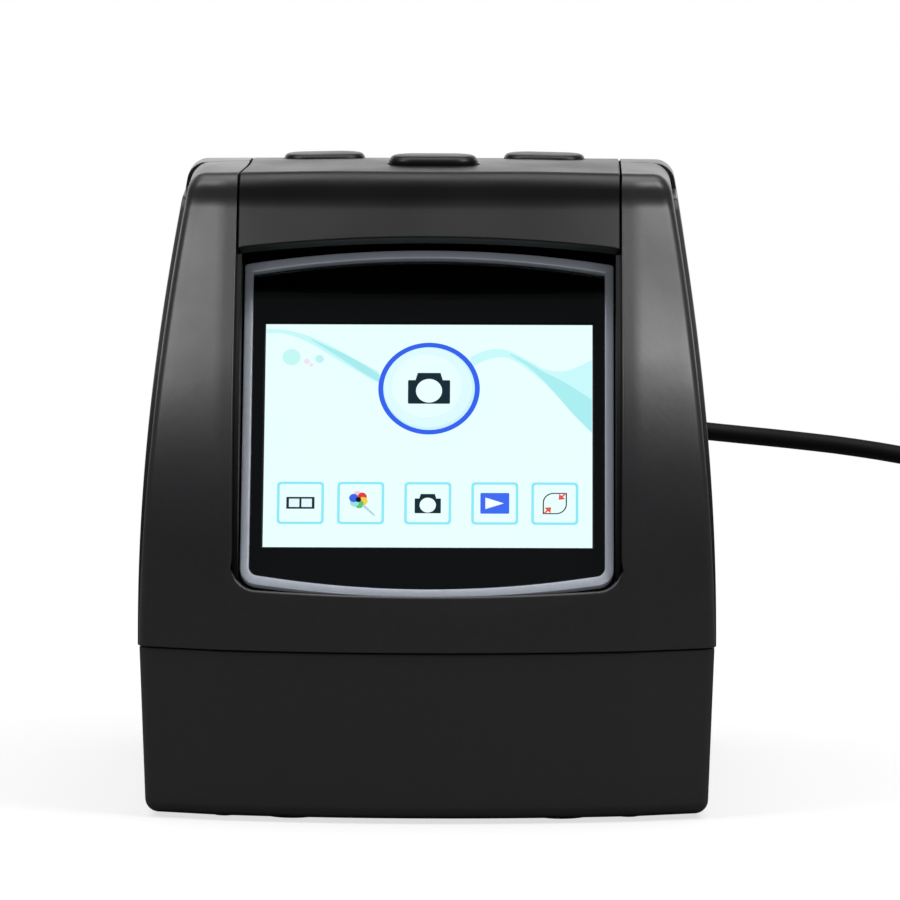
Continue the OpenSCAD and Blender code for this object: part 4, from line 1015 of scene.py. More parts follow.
def slot_end(u):
    off = max(slot_left + SLOT_R - u, u - (slot_right - SLOT_R), 0)
    return SLOT_BACK - (SLOT_R - math.sqrt(max(SLOT_R**2 - off**2, 0)))


after_slot = []
for u in mid_us:
    stop = rear_at(u)[A_ROWS + B_ROWS]
    after_slot.append([np.array((u, y, roof_z(u, y))) for y in steps(slot_end(u), stop[0], B_ROWS)])
rear.patch([[column[j] for column in after_slot] for j in range(B_ROWS + 1)])
all_us = left_us + mid_us[1:-1] + right_us
rear.patch([[rear_point(u, k) for u in all_us] for k in range(A_ROWS + B_ROWS, RUMP_END + D_TOP + 1)])


def back_place(u, z):
    x = u
    if abs(u) > FIXED:
        k = REAR_COUNT - 1 - min(range(len(rear_back_zs)), key=lambda i: abs(rear_back_zs[i] - z))
        x = rear_x(u, k)
    return np.array((x, back_y(z), z))


power_hole = POWER_R + POWER_GAP
grid_with_holes(rear, all_us, rear_back_zs, back_place, [
    (-OUTER, -4.4, 40, 52, (-18.4, 45.6), 13, 1.6, 0.4, 0),
    (-4.4, 3.6, 40, 52, (-0.5, 46.2), 2.9, 2.9, 2.9, 0),
    (3.6, 20.4, 40, 52, (12.0, 45.9), 5.2, 3.2, 0.6, 0),
    (slot_left, -16.5, 59.5, 72.5, POWER_AT, power_hole, power_hole, power_hole, 0)])
rear_housing = shell("rear_housing_shell", rear, FINISH["housing"], 1.6, 0.15)

# %% [markdown]
# ## Base housing
# The base repeats the outline of the housings, a quarter of a millimetre further in, with a rounded
# sole. It is one closed loop of columns round the body. The film slot runs through both sides.

# %% Base housing
BASE_TOP, BASE_Z, BASE_STEP, SOLE_R, DRAFT, CORNER_R = 25.55, 0.6, 0.25, 2.0, 0.9, 10.0
SLOT_W, SLOT_H, SLOT_Z = 60.0, 9.0, 14.0
SIDE_FROM, SIDE_TO, SLOT_ROWS = -33, 32, [12, 16, 19, 22, 24.6]
base = Sheet()


def base_half(z):
    return HALF_W - BASE_STEP - DRAFT * (BASE_TOP - z) / (BASE_TOP - BASE_Z)


def base_loop(z, inset):
    """One level of the base as separate runs of points, from the front's middle round the right side."""
    w, d = base_half(z) - inset, BACK_Y - BASE_STEP - inset
    r1, r2 = max(1.1 - inset * 0.5, 0.2), CORNER_R - inset
    xs = [0, 4, 8, 12, 16, 20, 24, 27, 29.2, 30.1, 30.5, 30.8, 31.2, 31.6, 31.9, 32.3, 33.5, 36, 39, w - r1]
    turns = [(w - down, far_in) for far_in, down in quarter(r1, 6)[1:]]
    fore = [(x, FRONT_Y + BASE_STEP + inset + front_depth(x) + back_off, z)
            for x, back_off in [(x, 0) for x in xs] + turns]
    fore += [(w, fore[-1][1] + (SIDE_FROM - fore[-1][1]) * t, z) for t in (0.5, 1)]
    side = [(w, y, z) for y in steps(SIDE_FROM, SIDE_TO, 32)]
    aft = [(w - far_in, d - down, z) for far_in, down in quarter(r2, 10)]
    aft = [(w, SIDE_TO, z)] + ([aft[0]] if aft[0][1] > SIDE_TO + 0.3 else []) + aft[1:]
    aft += [(x, d, z) for x in steps(aft[-1][0], 0, 10)[1:]]
    return fore, side, aft


def flip(run, side):
    return [(p[0] * side, p[1], p[2]) for p in run]


levels = [(z, 0.0) for z in (25.55, 24.6, 22, 19, 16, 12, 10, 8, 6, 4, 2.6)]
levels += [(BASE_Z + down, far_in) for far_in, down in quarter(SOLE_R, 7)[1:]]
for side in (1, -1):
    loops = [base_loop(z, inset) for z, inset in levels]
    base.patch([flip(fore, side) for fore, _, _ in loops])
    base.patch([flip(aft, side) for _, _, aft in loops])
    base.patch([flip(run, side) for (_, run, _), (z, _) in zip(loops, levels) if z >= SLOT_ROWS[-1]])
    base.patch([flip(run, side) for (_, run, _), (z, _) in zip(loops, levels) if z <= SLOT_ROWS[0]])
slot_us = steps(SIDE_FROM, SIDE_TO, 32)
outline = hole_outline(SLOT_W / 2, SLOT_H / 2, 1.2, len(slot_us) - 1, len(SLOT_ROWS) - 1)
for side in (1, -1):
    base.patch(ring_rows(slot_us, SLOT_ROWS, (0.0, SLOT_Z + SLOT_H / 2), outline,
                         lambda y, z: (base_half(z) * side, y, z), 4))
base_housing = shell("base_housing_shell", base, FINISH["base"], 1.7, 0.2)

# %% [markdown]
# ## Screen
# The bezel ring, the pane and the picture are lofts on the screen's plane. The ring has a low domed
# profile. The pane is clear, and its border is printed black behind it, round the window.

# %% Lofts
def loft(name, rings, finish, close=True):
    """A closed piece through rings of points; close caps both ends, otherwise the last ring meets the first."""
    points = [p for ring in rings for p in ring]
    n, faces = len(rings[0]), []
    count = len(rings) if not close else len(rings) - 1
    for i in range(count):
        j = (i + 1) % len(rings)
        for k in range(n):
            m = (k + 1) % n
            faces.append((i * n + k, i * n + m, j * n + m, j * n + k))
    if close:
        faces.append(tuple(range(n - 1, -1, -1)))
        faces.append(tuple((len(rings) - 1) * n + k for k in range(n)))
    made = mesh_piece(name, points, faces, finish)
    face_out(made)
    return made


def face_out(piece):
    """Turns the faces outward, and keeps edges sharper than 35 degrees crisp."""
    work = bmesh.new()
    work.from_mesh(piece.data)
    bmesh.ops.recalc_face_normals(work, faces=work.faces)
    for edge in work.edges:
        edge.smooth = len(edge.link_faces) == 2 and edge.calc_face_angle(0) < math.radians(35)
    work.to_mesh(piece.data)
    work.free()


def join(name, *parts):
    """Several pieces of one moulding as one object, with their materials kept."""
    with bpy.context.temp_override(active_object=parts[0], selected_editable_objects=list(parts)):
        bpy.ops.object.join()
    parts[0].name = name
    return parts[0]


# %% Bezel ring
RING_HALF, RING_TOP, RING_BOTTOM, RING_ARCH, RING_R, RING_LINE = 27.7, 30.7, -26.5, 2.4, 2.7, 1.3


def ring_path(inset):
    """The outline of the bezel, drawn in by an inset, as (x, y) clockwise from the middle of its top."""
    half = RING_HALF - inset
    high, low = RING_TOP - RING_ARCH - inset, RING_BOTTOM + RING_ARCH + inset
    slope = 2 * RING_ARCH / half
    across = np.array((1.0, -slope)) / math.hypot(1, slope)
    inward = np.array((-1.0, -slope)) / math.hypot(1, slope)
    down = np.array((0.0, -1.0))
    upper = [p for p, _ in arc(np.array((half, high)), across, down, max(0.5 - 0.3 * inset, 0.12), 6)]
    lower = [p for p, _ in arc(np.array((half, low)), down, inward, max(RING_R - inset, 0.9), 9)]
    right_half = [(x, high + RING_ARCH * (1 - (x / half) ** 2)) for x in steps(0, upper[0][0], 15)[:-1]]
    right_half += [tuple(p) for p in upper + lower]
    right_half += [(x, low - RING_ARCH * (1 - (x / half) ** 2)) for x in steps(lower[-1][0], 0, 15)[1:]]
    return right_half + [(-x, y) for x, y in right_half[-2:0:-1]]


RING_FOOT, RING_DOME = -1.2, 0.16
profile = [(0, RING_FOOT)]
profile += [(RING_LINE / 2 * (1 - math.cos(a)), -RING_DOME * (1 - math.sin(a))) for a in steps(0, math.pi, 12)]
profile += [(RING_LINE, RING_FOOT)]
bezel = loft("bezel_ring", [[on_screen(x, y, lift) for x, y in ring_path(i)] for i, lift in profile],
             FINISH["bezel"], close=False)
print("bezel ring:", len(profile), "points round its profile")

# %% Pane
LIT_W, LIT_H, LIT_AT, LIT_UP = 48.96, 36.72, 0.05, 0.55
PANE_FROM, PANE_TO, PICTURE_LIFT = -1.2, -0.2, -1.4
LENS_IN = RING_LINE + 0.05
window_w, window_h = LIT_W / 2 + 0.25, LIT_H / 2 + 0.25


def window_path():
    """The window's outline with as many points as the pane's, shared out by angle."""
    found = []
    for x, y in ring_path(LENS_IN):
        scale = min(window_w / max(abs(x), 1e-6), window_h / max(abs(y), 1e-6))
        found.append((LIT_AT + x * scale, LIT_UP + y * scale))
    for sx, sy in ((1, 1), (1, -1), (-1, 1), (-1, -1)):
        spot = (LIT_AT + sx * window_w, LIT_UP + sy * window_h)
        near = min(range(len(found)), key=lambda i: math.dist(found[i], spot))
        found[near] = spot
    return found


outer, inner = ring_path(LENS_IN), window_path()
PRINT_TO = PANE_FROM + 0.05
lens_border = loft("lens_border", [[on_screen(x, y, lift) for x, y in path] for path, lift in (
    (outer, PANE_FROM), (outer, PRINT_TO), (inner, PRINT_TO), (inner, PANE_FROM))], FINISH["lens_window"],
    close=False)
pane = loft("lens_pane", [[on_screen(x, y, lift) for x, y in ring_path(LENS_IN + i)] for i, lift in (
    (0, PRINT_TO + 0.01), (0, PANE_TO - 0.1), (0.1, PANE_TO))], pane_clear)
screen_lens = join("screen_lens_pane", lens_border, pane)
print("window:", round(2 * window_w, 2), "by", round(2 * window_h, 2), "mm")

# %% [markdown]
# ## Picture on the display
# The display shows a menu of pictograms on a pale ground. The shapes are generic: a ring with a camera,
# five tiles, two ribbons and a few bubbles. Each is a flat piece of lit colour a few hundredths of a
# millimetre above the last. Lettering is left out.

# %% Flat lit shapes
flat_points, flat_faces, flat_inks, inks = [], [], [], {}
layer = 0


def ink(rgb):
    """The number of a lit colour; a faint noise stands for the panel's unevenness."""
    if rgb not in inks:
        made, tree, out = blank_material("lit_%d_%d_%d" % rgb)
        colour = shade(*rgb)
        place, drift = node(tree, "ShaderNodeTexCoord"), node(tree, "ShaderNodeTexNoise", Scale=40)
        tone = node(tree, "ShaderNodeMixRGB", Color1=tinted(colour, 0.975), Color2=tinted(colour, 1.025))
        glow = node(tree, "ShaderNodeEmission", Strength=1.13)
        wire(tree, (place, "Object", drift, "Vector"), (drift, "Fac", tone, "Fac"),
             (tone, "Color", glow, "Color"), (glow, "Emission", out, "Surface"))
        inks[rgb] = (len(inks), made)
    return inks[rgb][0]


def draw(outline, rgb, hole=None):
    """A thin plate of lit colour, in millimetres from the display's middle; a hole has as many points."""
    global layer
    layer += 1
    top = PICTURE_LIFT + 0.003 * layer
    start, n = len(flat_points), len(outline)
    loops = [(outline, top), (outline, top - 0.0025)]
    if hole is not None:
        loops = [(hole, top - 0.0025), (hole, top)] + loops
    for loop, lift in loops:
        flat_points.extend(on_screen(x + LIT_AT, y + LIT_UP, lift) for x, y in loop)
    made = []
    for a in range(len(loops) if hole is not None else 1):
        b = (a + 1) % len(loops)
        for i in range(n):
            j = (i + 1) % n
            made.append((start + a * n + i, start + b * n + i, start + b * n + j, start + a * n + j))
    if hole is None:
        made += [tuple(range(start, start + n)), tuple(range(start + 2 * n - 1, start + n - 1, -1))]
    flat_faces.extend(made)
    flat_inks.extend([ink(rgb)] * len(made))


def disc(x, y, r, count=40):
    return [(x + r * math.cos(2 * math.pi * i / count), y + r * math.sin(2 * math.pi * i / count))
            for i in range(count)]


def panel(x, y, w, h, r=0.0):
    """A rectangle round x, y, with rounded corners."""
    if r <= 0:
        return [(x - w / 2, y - h / 2), (x + w / 2, y - h / 2), (x + w / 2, y + h / 2), (x - w / 2, y + h / 2)]
    found = []
    for sx, sy, a0 in ((1, -1, -90), (1, 1, 0), (-1, 1, 90), (-1, -1, 180)):
        for i in range(5):
            a = math.radians(a0 + 22.5 * i)
            found.append((x + sx * (w / 2 - r) + r * math.cos(a), y + sy * (h / 2 - r) + r * math.sin(a)))
    return found


def wave(points):
    """A smooth curve through points of the picture, six steps to each stretch."""
    p = [np.array(q, float) for q in points]
    p = [2 * p[0] - p[1]] + p + [2 * p[-1] - p[-2]]
    found = []
    for i in range(1, len(p) - 2):
        a, b, c, d = p[i - 1:i + 3]
        for t in (k / 6 for k in range(6)):
            found.append(0.5 * (2 * b + (c - a) * t + (2 * a - 5 * b + 4 * c - d) * t**2
                                + (3 * b - a - 3 * c + d) * t**3))
    return [tuple(q) for q in found] + [tuple(p[-2])]


def band(upper, lower, rgb):
    """A ribbon between two curves."""
    draw(wave(lower) + wave(upper)[::-1], rgb)


# %% The menu picture
GROUND, INK, BLUE, TILE = (232, 255, 253), (24, 44, 54), (52, 98, 236), (142, 229, 245)
draw(panel(0, 0, LIT_W, LIT_H), GROUND)
band([(-24.4, 17.6), (-21.4, 17.4), (-18.2, 16.5), (-14.6, 14.7), (-11.2, 12.7), (-7.6, 10.6)],
     [(-24.4, 16.9), (-21.4, 16.7), (-18.2, 15.4), (-14.6, 13.1), (-11.2, 10.9), (-7.6, 8.6)], (198, 245, 246))
band([(-17.6, 15.9), (-15.2, 14.7), (-12.6, 13.4), (-10.1, 11.9), (-7.4, 10.1)],
     [(-17.6, 15.7), (-15.2, 14.1), (-12.6, 12.3), (-10.1, 10.5), (-7.4, 8.8)], (166, 232, 236))
band([(6.2, 13.0), (8.8, 14.2), (11.6, 14.2), (14.5, 12.7), (17.4, 11.0), (20.2, 10.7), (22.4, 11.5),
      (24.4, 12.6)],
     [(6.2, 11.2), (8.8, 12.6), (11.6, 12.9), (14.5, 11.2), (17.4, 8.6), (20.2, 5.4), (22.4, 2.9), (24.4, 0.6)],
     (200, 246, 247))
band([(12.2, 13.6), (14.6, 12.3), (17.0, 10.7), (19.4, 9.4), (21.6, 8.0), (24.4, 6.0)],
     [(12.2, 13.3), (14.6, 11.6), (17.0, 9.3), (19.4, 6.4), (21.6, 3.6), (24.4, 0.5)], (170, 234, 237))
for x, y, r, rgb in ((-20.6, 12.9, 1.35, (196, 244, 240)), (-16.4, 12.6, 0.65, (190, 240, 240)),
                     (-18.3, 12.2, 0.45, (236, 226, 240)), (-17.6, 11.6, 0.3, (240, 224, 236))):
    draw(disc(x, y, r), rgb)

draw(disc(0.05, 7.75, 7.35, 64), (206, 240, 250))
draw(disc(-0.1, 7.95, 6.6, 64), (221, 248, 252))
draw(disc(-0.3, 8.2, 5.2, 64), (232, 252, 253))
draw(disc(0.05, 7.75, 7.6, 72), BLUE, disc(0.05, 7.75, 6.85, 72))


def camera_sign(x, y, w):
    """A camera pictogram of a given width round x, y."""
    draw(panel(x, y - w * 0.05, w, w * 0.62, w * 0.03), INK)
    draw([(x - w * 0.33, y + 0.24 * w), (x + w * 0.33, y + 0.24 * w), (x + w * 0.27, y + 0.45 * w),
          (x - w * 0.27, y + 0.45 * w)], INK)
    draw(disc(x, y - w * 0.02, w * 0.31), (236, 255, 253))


camera_sign(0.05, 7.5, 6.3)
TILE_Y, TILE_W, TILE_H = -11.15, 7.0, 6.95
tile_xs = (-18.95, -9.98, 0.0, 9.97, 18.9)
for x in tile_xs:
    draw(panel(x, TILE_Y, TILE_W, TILE_H, 0.6), TILE, panel(x, TILE_Y, TILE_W - 0.8, TILE_H - 0.8, 0.35))

x = tile_xs[0]
draw(panel(x, TILE_Y, 4.2, 1.95), INK)
for side in (-1, 1):
    draw(panel(x + side * 0.93, TILE_Y, 1.55, 1.35), (226, 246, 250))
x = tile_xs[1]
for a, rgb in enumerate(((240, 200, 222), (228, 60, 60), (246, 206, 70), (96, 190, 110), (150, 222, 226),
                         (60, 100, 220))):
    t = math.radians(100 - 60 * a)
    draw(disc(x - 0.35 + 0.75 * math.cos(t), TILE_Y + 0.55 + 0.75 * math.sin(t), 0.68, 24), rgb)
draw(disc(x - 0.35, TILE_Y + 0.55, 0.42, 20), (20, 24, 40))
draw([(x + 0.2, TILE_Y - 0.5), (x + 0.5, TILE_Y - 0.2), (x + 2.2, TILE_Y - 2.0), (x + 2.0, TILE_Y - 2.15)],
     (170, 214, 222))
camera_sign(tile_xs[2], TILE_Y - 0.25, 3.9)
x = tile_xs[3]
draw(panel(x, TILE_Y, 4.3, 3.4, 0.15), (62, 106, 238))
draw([(x - 1.4, TILE_Y - 0.95), (x + 1.35, TILE_Y), (x - 1.4, TILE_Y + 0.95)], (244, 250, 255))
x = tile_xs[4]
leaf = []
for way in (1, -1):
    leaf += [(x + way * 1.8, TILE_Y + way * 1.75), (x - way * 0.2, TILE_Y + way * 1.75)]
    leaf += [(x - way * (0.2 + 1.6 * math.sin(a)), TILE_Y + way * (0.15 + 1.6 * math.cos(a)))
             for a in steps(0, math.pi / 2, 6)[1:]]
draw(leaf, INK, [(x + (p - x) * 0.9, TILE_Y + (q - TILE_Y) * 0.9) for p, q in leaf])
for side in (-1, 1):
    cx, cy = x + side * 0.55, TILE_Y + side * 0.6
    for arrow in (((0, 0), (1.0, 0.1), (0.1, 1.0)), ((0.4, 0.6), (0.6, 0.4), (1.15, 1.0), (1.0, 1.15))):
        draw([(cx + side * u, cy + side * v) for u, v in arrow], (232, 84, 70))

PANEL_W, PANEL_H = LIT_W + 1.6, LIT_H + 1.6
slab = loft("panel_slab", [[on_screen(x + LIT_AT, y + LIT_UP, lift) for x, y in panel(0, 0, PANEL_W, PANEL_H)]
                           for lift in (-2.7, PICTURE_LIFT - 0.002)], FINISH["display"])
picture = mesh_piece("picture", flat_points, flat_faces, [m for _, m in inks.values()], smooth=False)
picture.data.polygons.foreach_set("material_index", flat_inks)
display = join("display_picture", slab, picture)
print("picture:", layer, "layers,", len(inks), "inks")

# %% [markdown]
# ## Keys
# Each key is a pill with a soft rounded edge. The three on the roof stand a millimetre or so proud of
# their holes. The power key on the back is round.

# %% Keys
def pill_path(length, width, inset):
    r, c = width / 2 - inset, (length - width) / 2
    return [(side * (c + r * math.cos(a)), side * r * math.sin(a))
            for side in (1, -1) for a in (math.radians(-90 + 15 * i) for i in range(13))]


def key_cap(name, at, length, turn, proud, rounding):
    """A key standing proud of the roof, with a soft edge and a slightly domed top."""
    base = roof_z(at[0], 0) - (TOP_Z - roof_z(0, at[1]))
    c, s = math.cos(turn), math.sin(turn)
    levels = [(0, -2.3), (0, proud - rounding - 0.12)]
    levels += [(far_in, proud - 0.12 - down) for far_in, down in quarter(rounding, 8, 0.86)[1:]]
    levels += [(1.6, proud - 0.05), (2.3, proud - 0.02), (3.1, proud - 0.01)]
    rings = [[(at[0] + x * c - y * s, at[1] + x * s + y * c, base + z)
              for x, y in pill_path(length, BUTTON_W, inset)] for inset, z in levels]
    return loft(name, rings, FINISH["buttons"])


keys = {"ok_button": key_cap("ok_key", OK_AT, OK_L, 0, 1.5, 1.05),
        "left_button": key_cap("left_key", LEFT_AT, ARROW_L, ARROW_TURN, 1.1, 0.8),
        "right_button": key_cap("right_key", RIGHT_AT, ARROW_L, -ARROW_TURN, 1.1, 0.8)}
power_face = back_y(POWER_AT[1]) + 1.15
levels = [(0, -4.6), (0, -0.5)]
levels += [(far_in, -down) for far_in, down in quarter(0.5, 5)[1:]]
levels += [(1.6, -0.04), (2.6, -0.12), (3.4, -0.17)]
keys["power_button"] = loft("power_key_cap", [
    [(x, power_face + d, z) for x, z in disc(*POWER_AT, POWER_R - i)] for i, d in levels], FINISH["power_key"])
print("keys:", {name: len(key.data.polygons) for name, key in keys.items()})

# %% [markdown]
# ## Plugs and reliefs
# Both plugs have a soft moulded grip. The near one sits in the back, the far one lies beside the coil.

# %% Plugs
def grip(name, at, way, levels):
    """A grip along y: levels are (distance, width, height, corner)."""
    return loft(name, [[(at[0] + x, at[1] + way * d, at[2] + z) for x, z in pill_path(w, h, inset)]
                       for d, w, h, inset in levels], FINISH["cord_jacket"])


USB_AT = (12.0, 44.4, 45.6)
near_grip = grip("near_plug_grip", USB_AT, 1, [
    (0, 10, 6.4, 0.4), (0.15, 10, 6.4, 0.12), (0.5, 10, 6.4, 0), (11.8, 10, 6.4, 0), (12.6, 10, 6.4, 0.15),
    (13.0, 10, 6.4, 0.55), (13.1, 8.6, 5.8, 0.3), (13.2, 8, 5.4, 0), (16.4, 8, 5.4, 0), (16.8, 8, 5.4, 0.15),
    (17.0, 8, 5.4, 0.5)])
far_at = (COIL_AT[0] + COIL_R, COIL_AT[1] - EXIT - 10, coil_top)
far_h = 2 * coil_top
far_grip = grip("far_plug_grip_soft", far_at, -1, [(d, 15.5, far_h, inset) for d, inset in (
    (0, 1.6), (0.25, 0.9), (0.9, 0.35), (2.0, 0.05), (4, 0), (16, 0), (18.2, 0.1), (18.8, 0.4), (19, 0.9))])
print("far plug's grip:", round(far_h, 2), "mm high")


# %% [markdown]
# ## What repeats
# One Geometry Nodes tree puts copies of a unit on points. It serves the housing screws, the rubber feet
# and the ribs of the two strain reliefs. Each point carries a size, and the screws are turned at random.

# %% The repeating tree
def number(sockets, name):
    return next(s for s in sockets if s.name == name and s.type == "VALUE")


def repeat_tree():
    tree = bpy.data.node_groups.new("repeat_on_points", "GeometryNodeTree")
    for name, kind, way in (("Points", "Geometry", "INPUT"), ("Unit", "Object", "INPUT"),
                            ("Tilt", "Vector", "INPUT"), ("Spread", "Float", "INPUT"),
                            ("Finish", "Material", "INPUT"), ("Geometry", "Geometry", "OUTPUT")):
        tree.interface.new_socket(name, in_out=way, socket_type="NodeSocket" + kind)
    inside, outside, spin, both = (node(tree, kind) for kind in (
        "NodeGroupInput", "NodeGroupOutput", "ShaderNodeCombineXYZ", "ShaderNodeVectorMath"))
    unit, put, real, paint = (node(tree, "GeometryNode" + kind) for kind in (
        "ObjectInfo", "InstanceOnPoints", "RealizeInstances", "SetMaterial"))
    size = node(tree, "GeometryNodeInputNamedAttribute", Name="size")
    turn = node(tree, "FunctionNodeRandomValue", Seed=7)
    size.data_type = turn.data_type = "FLOAT"
    wire(tree, (inside, "Points", put, "Points"), (inside, "Unit", unit, "Object"),
         (unit, "Geometry", put, "Instance"), (inside, "Tilt", both, 0), (spin, "Vector", both, 1),
         (both, "Vector", put, "Rotation"), (put, "Instances", real, "Geometry"),
         (real, "Geometry", paint, "Geometry"), (inside, "Finish", paint, "Material"),
         (paint, "Geometry", outside, "Geometry"))
    tree.links.new(inside.outputs["Spread"], number(turn.inputs, "Max"))
    tree.links.new(number(turn.outputs, "Value"), spin.inputs["Z"])
    tree.links.new(number(size.outputs, "Attribute"), put.inputs["Scale"])
    return tree


repeater = repeat_tree()


def repeat(name, unit, spots, finish, tilt=(0, 0, 0), spread=0.0):
    """A plain mesh of copies of unit at the spots, which are (x, y, z, size) in millimetres."""
    mesh = bpy.data.meshes.new(name + "_points")
    mesh.from_pydata([tuple(c * MM for c in s[:3]) for s in spots], [], [])
    mesh.attributes.new("size", "FLOAT", "POINT").data.foreach_set("value", [s[3] for s in spots])
    holder = bpy.data.objects.new(name + "_holder", mesh)
    bpy.context.scene.collection.objects.link(holder)
    rule = holder.modifiers.new("repeat", "NODES")
    rule.node_group = repeater
    sockets = {item.name: item.identifier for item in repeater.interface.items_tree if item.in_out == "INPUT"}
    for socket, value in (("Unit", unit), ("Tilt", tilt), ("Spread", spread), ("Finish", finish)):
        rule[sockets[socket]] = value
    ready = holder.evaluated_get(bpy.context.evaluated_depsgraph_get())
    made = bpy.data.objects.new(name, bpy.data.meshes.new_from_object(ready))
    made.data.name = name
    holder.modifiers.remove(rule)
    bpy.data.objects.remove(holder)
    bpy.data.objects.remove(unit)
    bpy.context.scene.collection.objects.link(made)
    face_out(made)
    return made


def turned(name, outline, finish):
    """A unit turned round z from (radius, height) pairs, bottom to top."""
    return loft(name, [[(x, y, z) for x, y in disc(0, 0, r, 32)] for r, z in outline], finish)


# %% Feet, screws and ribs
FORE_POST, REAR_POST = (30.0, -35.6), (34.5, 36.5)
foot_unit = turned("foot_unit", [(4.7, 0.62), (5.0, 0.6), (5.0, 0.25), (4.9, 0.08), (4.65, 0.0), (4.2, 0.0),
                                 (3.9, 0.1), (1.5, 0.12)], FINISH["feet"])
feet_spots = [(sx * (FORE_POST[0] - 10), y, 0, 1.0)
              for sx in (1, -1) for y in (FORE_POST[1] + 3, REAR_POST[1] - 3)]
feet = repeat("rubber_feet_set", foot_unit, feet_spots, FINISH["feet"])

cross = [(1.4, -0.3), (1.4, 0), (1.4, 0.3), (0.85, 0.3), (0.3, 0.3), (0.3, 0.85)]
quarter = [-12, 0, 12, 28, 45, 62]
cross_loop, head_angles = [], []
for q in range(4):
    c, s = round(math.cos(q * math.pi / 2)), round(math.sin(q * math.pi / 2))
    cross_loop += [(x * c - y * s, x * s + y * c) for x, y in cross]
    head_angles += [math.radians(a + 90 * q) for a in quarter]
screw_rings = [[(r * math.cos(a), r * math.sin(a), z) for a in head_angles]
               for r, z in ((1.15, 12.0), (1.15, 1.6), (2.2, 1.6), (2.2, 0.5), (2.05, 0.18), (1.75, 0.04))]
screw_rings += [[(x, y, 0.0) for x, y in cross_loop], [(x * 0.9, y * 0.9, 0.9) for x, y in cross_loop]]
screw_unit = loft("screw_unit", screw_rings, FINISH["screws"])
screw_spots = [(sx * x, y, 0.3, 1.0) for sx in (1, -1) for x, y in (FORE_POST, REAR_POST)]
screws = repeat("housing_screws_set", screw_unit, screw_spots, FINISH["screws"], spread=math.pi / 2)


def relief_piece(name, at, way, length, r_from, r_to):
    """A strain relief along y: a slim tapered core with five ribs that shrink along it."""
    rings, spots = [], []
    for t in (0.0, 0.25, 0.5, 0.75, 1.0):
        r = max((r_from + (r_to - r_from) * t) * (0.84 if 0 < t < 1 else 0.9), CORD_D / 2 + 0.08)
        rings.append([(x, at[1] + way * length * t, z) for x, z in disc(at[0], at[2], r, 28)])
    body = loft(name + "_core", rings, FINISH["cord_jacket"])
    for t in ((i + 0.4) / 5 for i in range(5)):
        spots.append((at[0], at[1] + way * length * t, at[2], r_from + (r_to - r_from) * t))
    side = [(0.95, 0.19), (0.86, 0.2)]
    rib = turned("rib_unit", [(r, -z) for r, z in side[::-1]] + [(1.0, -0.13), (1.0, 0.13)] + side,
                 FINISH["cord_jacket"])
    ribs = repeat(name + "_ribs", rib, spots, FINISH["cord_jacket"], tilt=(math.pi / 2, 0, 0))
    return join(name, body, ribs)


near_relief = relief_piece("near_strain_relief", (USB_AT[0], USB_AT[1] + 17, USB_AT[2]), 1, 8.6, 2.6, 1.75)
far_relief = relief_piece("far_strain_relief_soft", (far_at[0], COIL_AT[1] - EXIT, coil_top), -1, 10, 1.75, 3.0)
print("feet:", len(feet_spots), "screws:", len(screw_spots))

# %% [markdown]
# ## Fitting the pieces to the model
# Every new piece rides a body of the CAD model, stands for its nodes and names its material slot. The
# CAD nodes that stay in sight, most of them inside, get a finish by their own slot.

# %% Bodies, nodes and slots
for piece, body, slot, nodes in (
        (front_housing, "scanner", "housing", ["front_housing"]),
        (rear_housing, "scanner", "housing", ["rear_housing"]),
        (top_cover, "scanner", "cover", ["top_cover"]),
        (base_housing, "scanner", "base", ["base_housing"]),
        (bezel, "scanner", "bezel", ["screen_bezel"]),
        (screen_lens, "scanner", "lens_window", ["screen_lens"]),
        (display, "scanner", "display", ["display_panel"]),
        (keys["ok_button"], "ok_button_key", "buttons", ["ok_button"]),
        (keys["left_button"], "left_button_key", "buttons", ["left_button"]),
        (keys["right_button"], "right_button_key", "buttons", ["right_button"]),
        (keys["power_button"], "power_button_key", "power_key", ["power_button"]),
        (near_grip, "scanner", "cord_jacket", ["usb_plug_grip"]),
        (far_grip, "scanner", "cord_jacket", ["far_plug_grip"]),
        (near_relief, "scanner", "cord_jacket", ["usb_strain_relief"]),
        (far_relief, "scanner", "cord_jacket", ["far_strain_relief"]),
        (feet, "scanner", "feet", ["rubber_feet"]),
        (screws, "scanner", "screws", ["housing_screws"]),
        (lead, "scanner", "cord_jacket", ["usb_cord", "usb_cord_coil"])):
    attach(piece, body)
    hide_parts(*nodes)

painted = 0
for entry in frame["record"]["subparts"]:
    for place in frame["nodes"][entry["node"]].material_slots:
        place.material = FINISH[entry["material_slot"]]
        painted += 1
print("CAD slots painted:", painted)

# %% [markdown]
# ## Floor and light
# The product was lit from above and from both sides, against white. The floor is white to the camera,
# with a soft shadow, but returns little light, as the dark upright faces show. A wide panel stands
# behind and gives the roof its pale band. A low fill lights the bezel alone, whose top lies in the
# brow's shade.

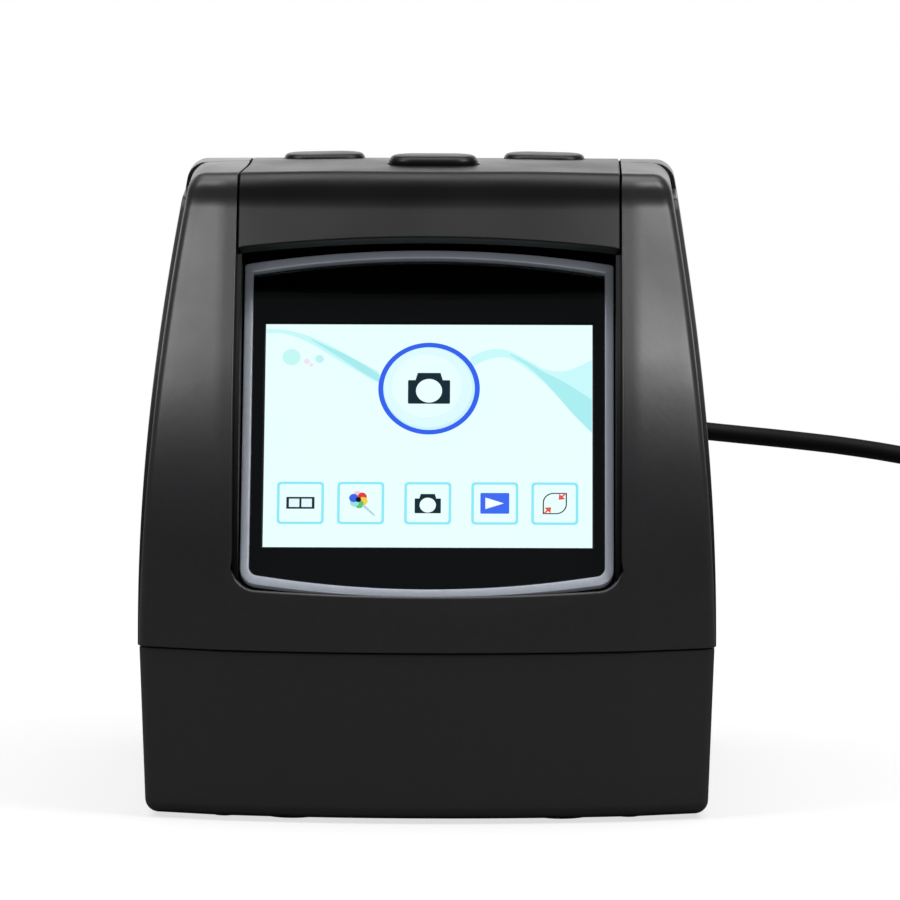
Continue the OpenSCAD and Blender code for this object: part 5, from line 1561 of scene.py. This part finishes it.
# %% Floor
def floor_material():
    made, tree, out = blank_material("pale_floor")
    seen, place = node(tree, "ShaderNodeLightPath"), node(tree, "ShaderNodeTexCoord")
    dull = node(tree, "ShaderNodeBsdfDiffuse", Color=(0.2, 0.2, 0.2, 1))
    lit = node(tree, "ShaderNodeBsdfDiffuse", Color=(1, 1, 1, 1))
    glow = node(tree, "ShaderNodeEmission", Strength=1.0)
    away = node(tree, "ShaderNodeVectorMath")
    near = node(tree, "ShaderNodeMapRange", From_Min=0.06, From_Max=0.3, To_Min=0.3, To_Max=0.0)
    away.operation, near.interpolation_type = "LENGTH", "SMOOTHSTEP"
    mix, pale = node(tree, "ShaderNodeMixShader"), node(tree, "ShaderNodeMixShader")
    wire(tree, (place, "Object", away, 0), (away, "Value", near, "Value"), (near, "Result", pale, "Fac"),
         (glow, "Emission", pale, 1), (lit, "BSDF", pale, 2), (seen, "Is Camera Ray", mix, "Fac"),
         (dull, "BSDF", mix, 1), (pale, "Shader", mix, 2), (mix, "Shader", out, "Surface"))
    return made


FLOOR_R = 6000
floor = mesh_piece("floor", [(x, y, 0.0) for x, y in disc(0, 0, FLOOR_R, 64)], [tuple(range(64))],
                   floor_material(), smooth=False)

# %% Light
world = bpy.data.worlds.new("studio")
world.use_nodes = True
bpy.context.scene.world = world
sky = world.node_tree
seen, choose = node(sky, "ShaderNodeLightPath"), node(sky, "ShaderNodeMixShader")
dim = node(sky, "ShaderNodeBackground", Color=(0.9, 0.95, 1.0, 1), Strength=0.08)
white_sky, out = sky.nodes["Background"], sky.nodes["World Output"]
white_sky.inputs["Color"].default_value = (1, 1, 1, 1)
wire(sky, (seen, "Is Camera Ray", choose, "Fac"), (dim, "Background", choose, 1),
     (white_sky, "Background", choose, 2), (choose, "Shader", out, "Surface"))


LIGHT_AIM = Vector((0, 0, 0.05))


def softbox(name, at, width, height, radiance):
    """A rectangular light of a given brightness, in metres, facing the body and hidden from the camera."""
    light = bpy.data.lights.new(name, "AREA")
    light.shape = "RECTANGLE"
    light.size, light.size_y = width, height
    light.energy = radiance * math.pi * width * height
    made = bpy.data.objects.new(name, light)
    made.location = at
    made.rotation_euler = (LIGHT_AIM - Vector(at)).to_track_quat("-Z", "Y").to_euler()
    made.visible_camera = False
    bpy.context.scene.collection.objects.link(made)
    return made


softbox("top_box", (0, 0.08, 0.9), 1.0, 0.6, 3.3)
softbox("right_box", (0.6, -0.27, 0.82), 0.34, 0.34, 11.0)
softbox("left_box", (-0.6, -0.27, 0.82), 0.34, 0.34, 8.5)
brow_fill = softbox("brow_fill", (0, -1.5, 0.2), 1.6, 0.38, 5.6)
ring_only = bpy.data.collections.new("ring_only")
ring_only.objects.link(bezel)
brow_fill.light_linking.receiver_collection = ring_only
softbox("back_panel", (0, 1.3, 0.35), 2.4, 0.7, 1.5)
bpy.context.scene.view_settings.view_transform = "Standard"
print("lights:", [light.name for light in bpy.data.lights])
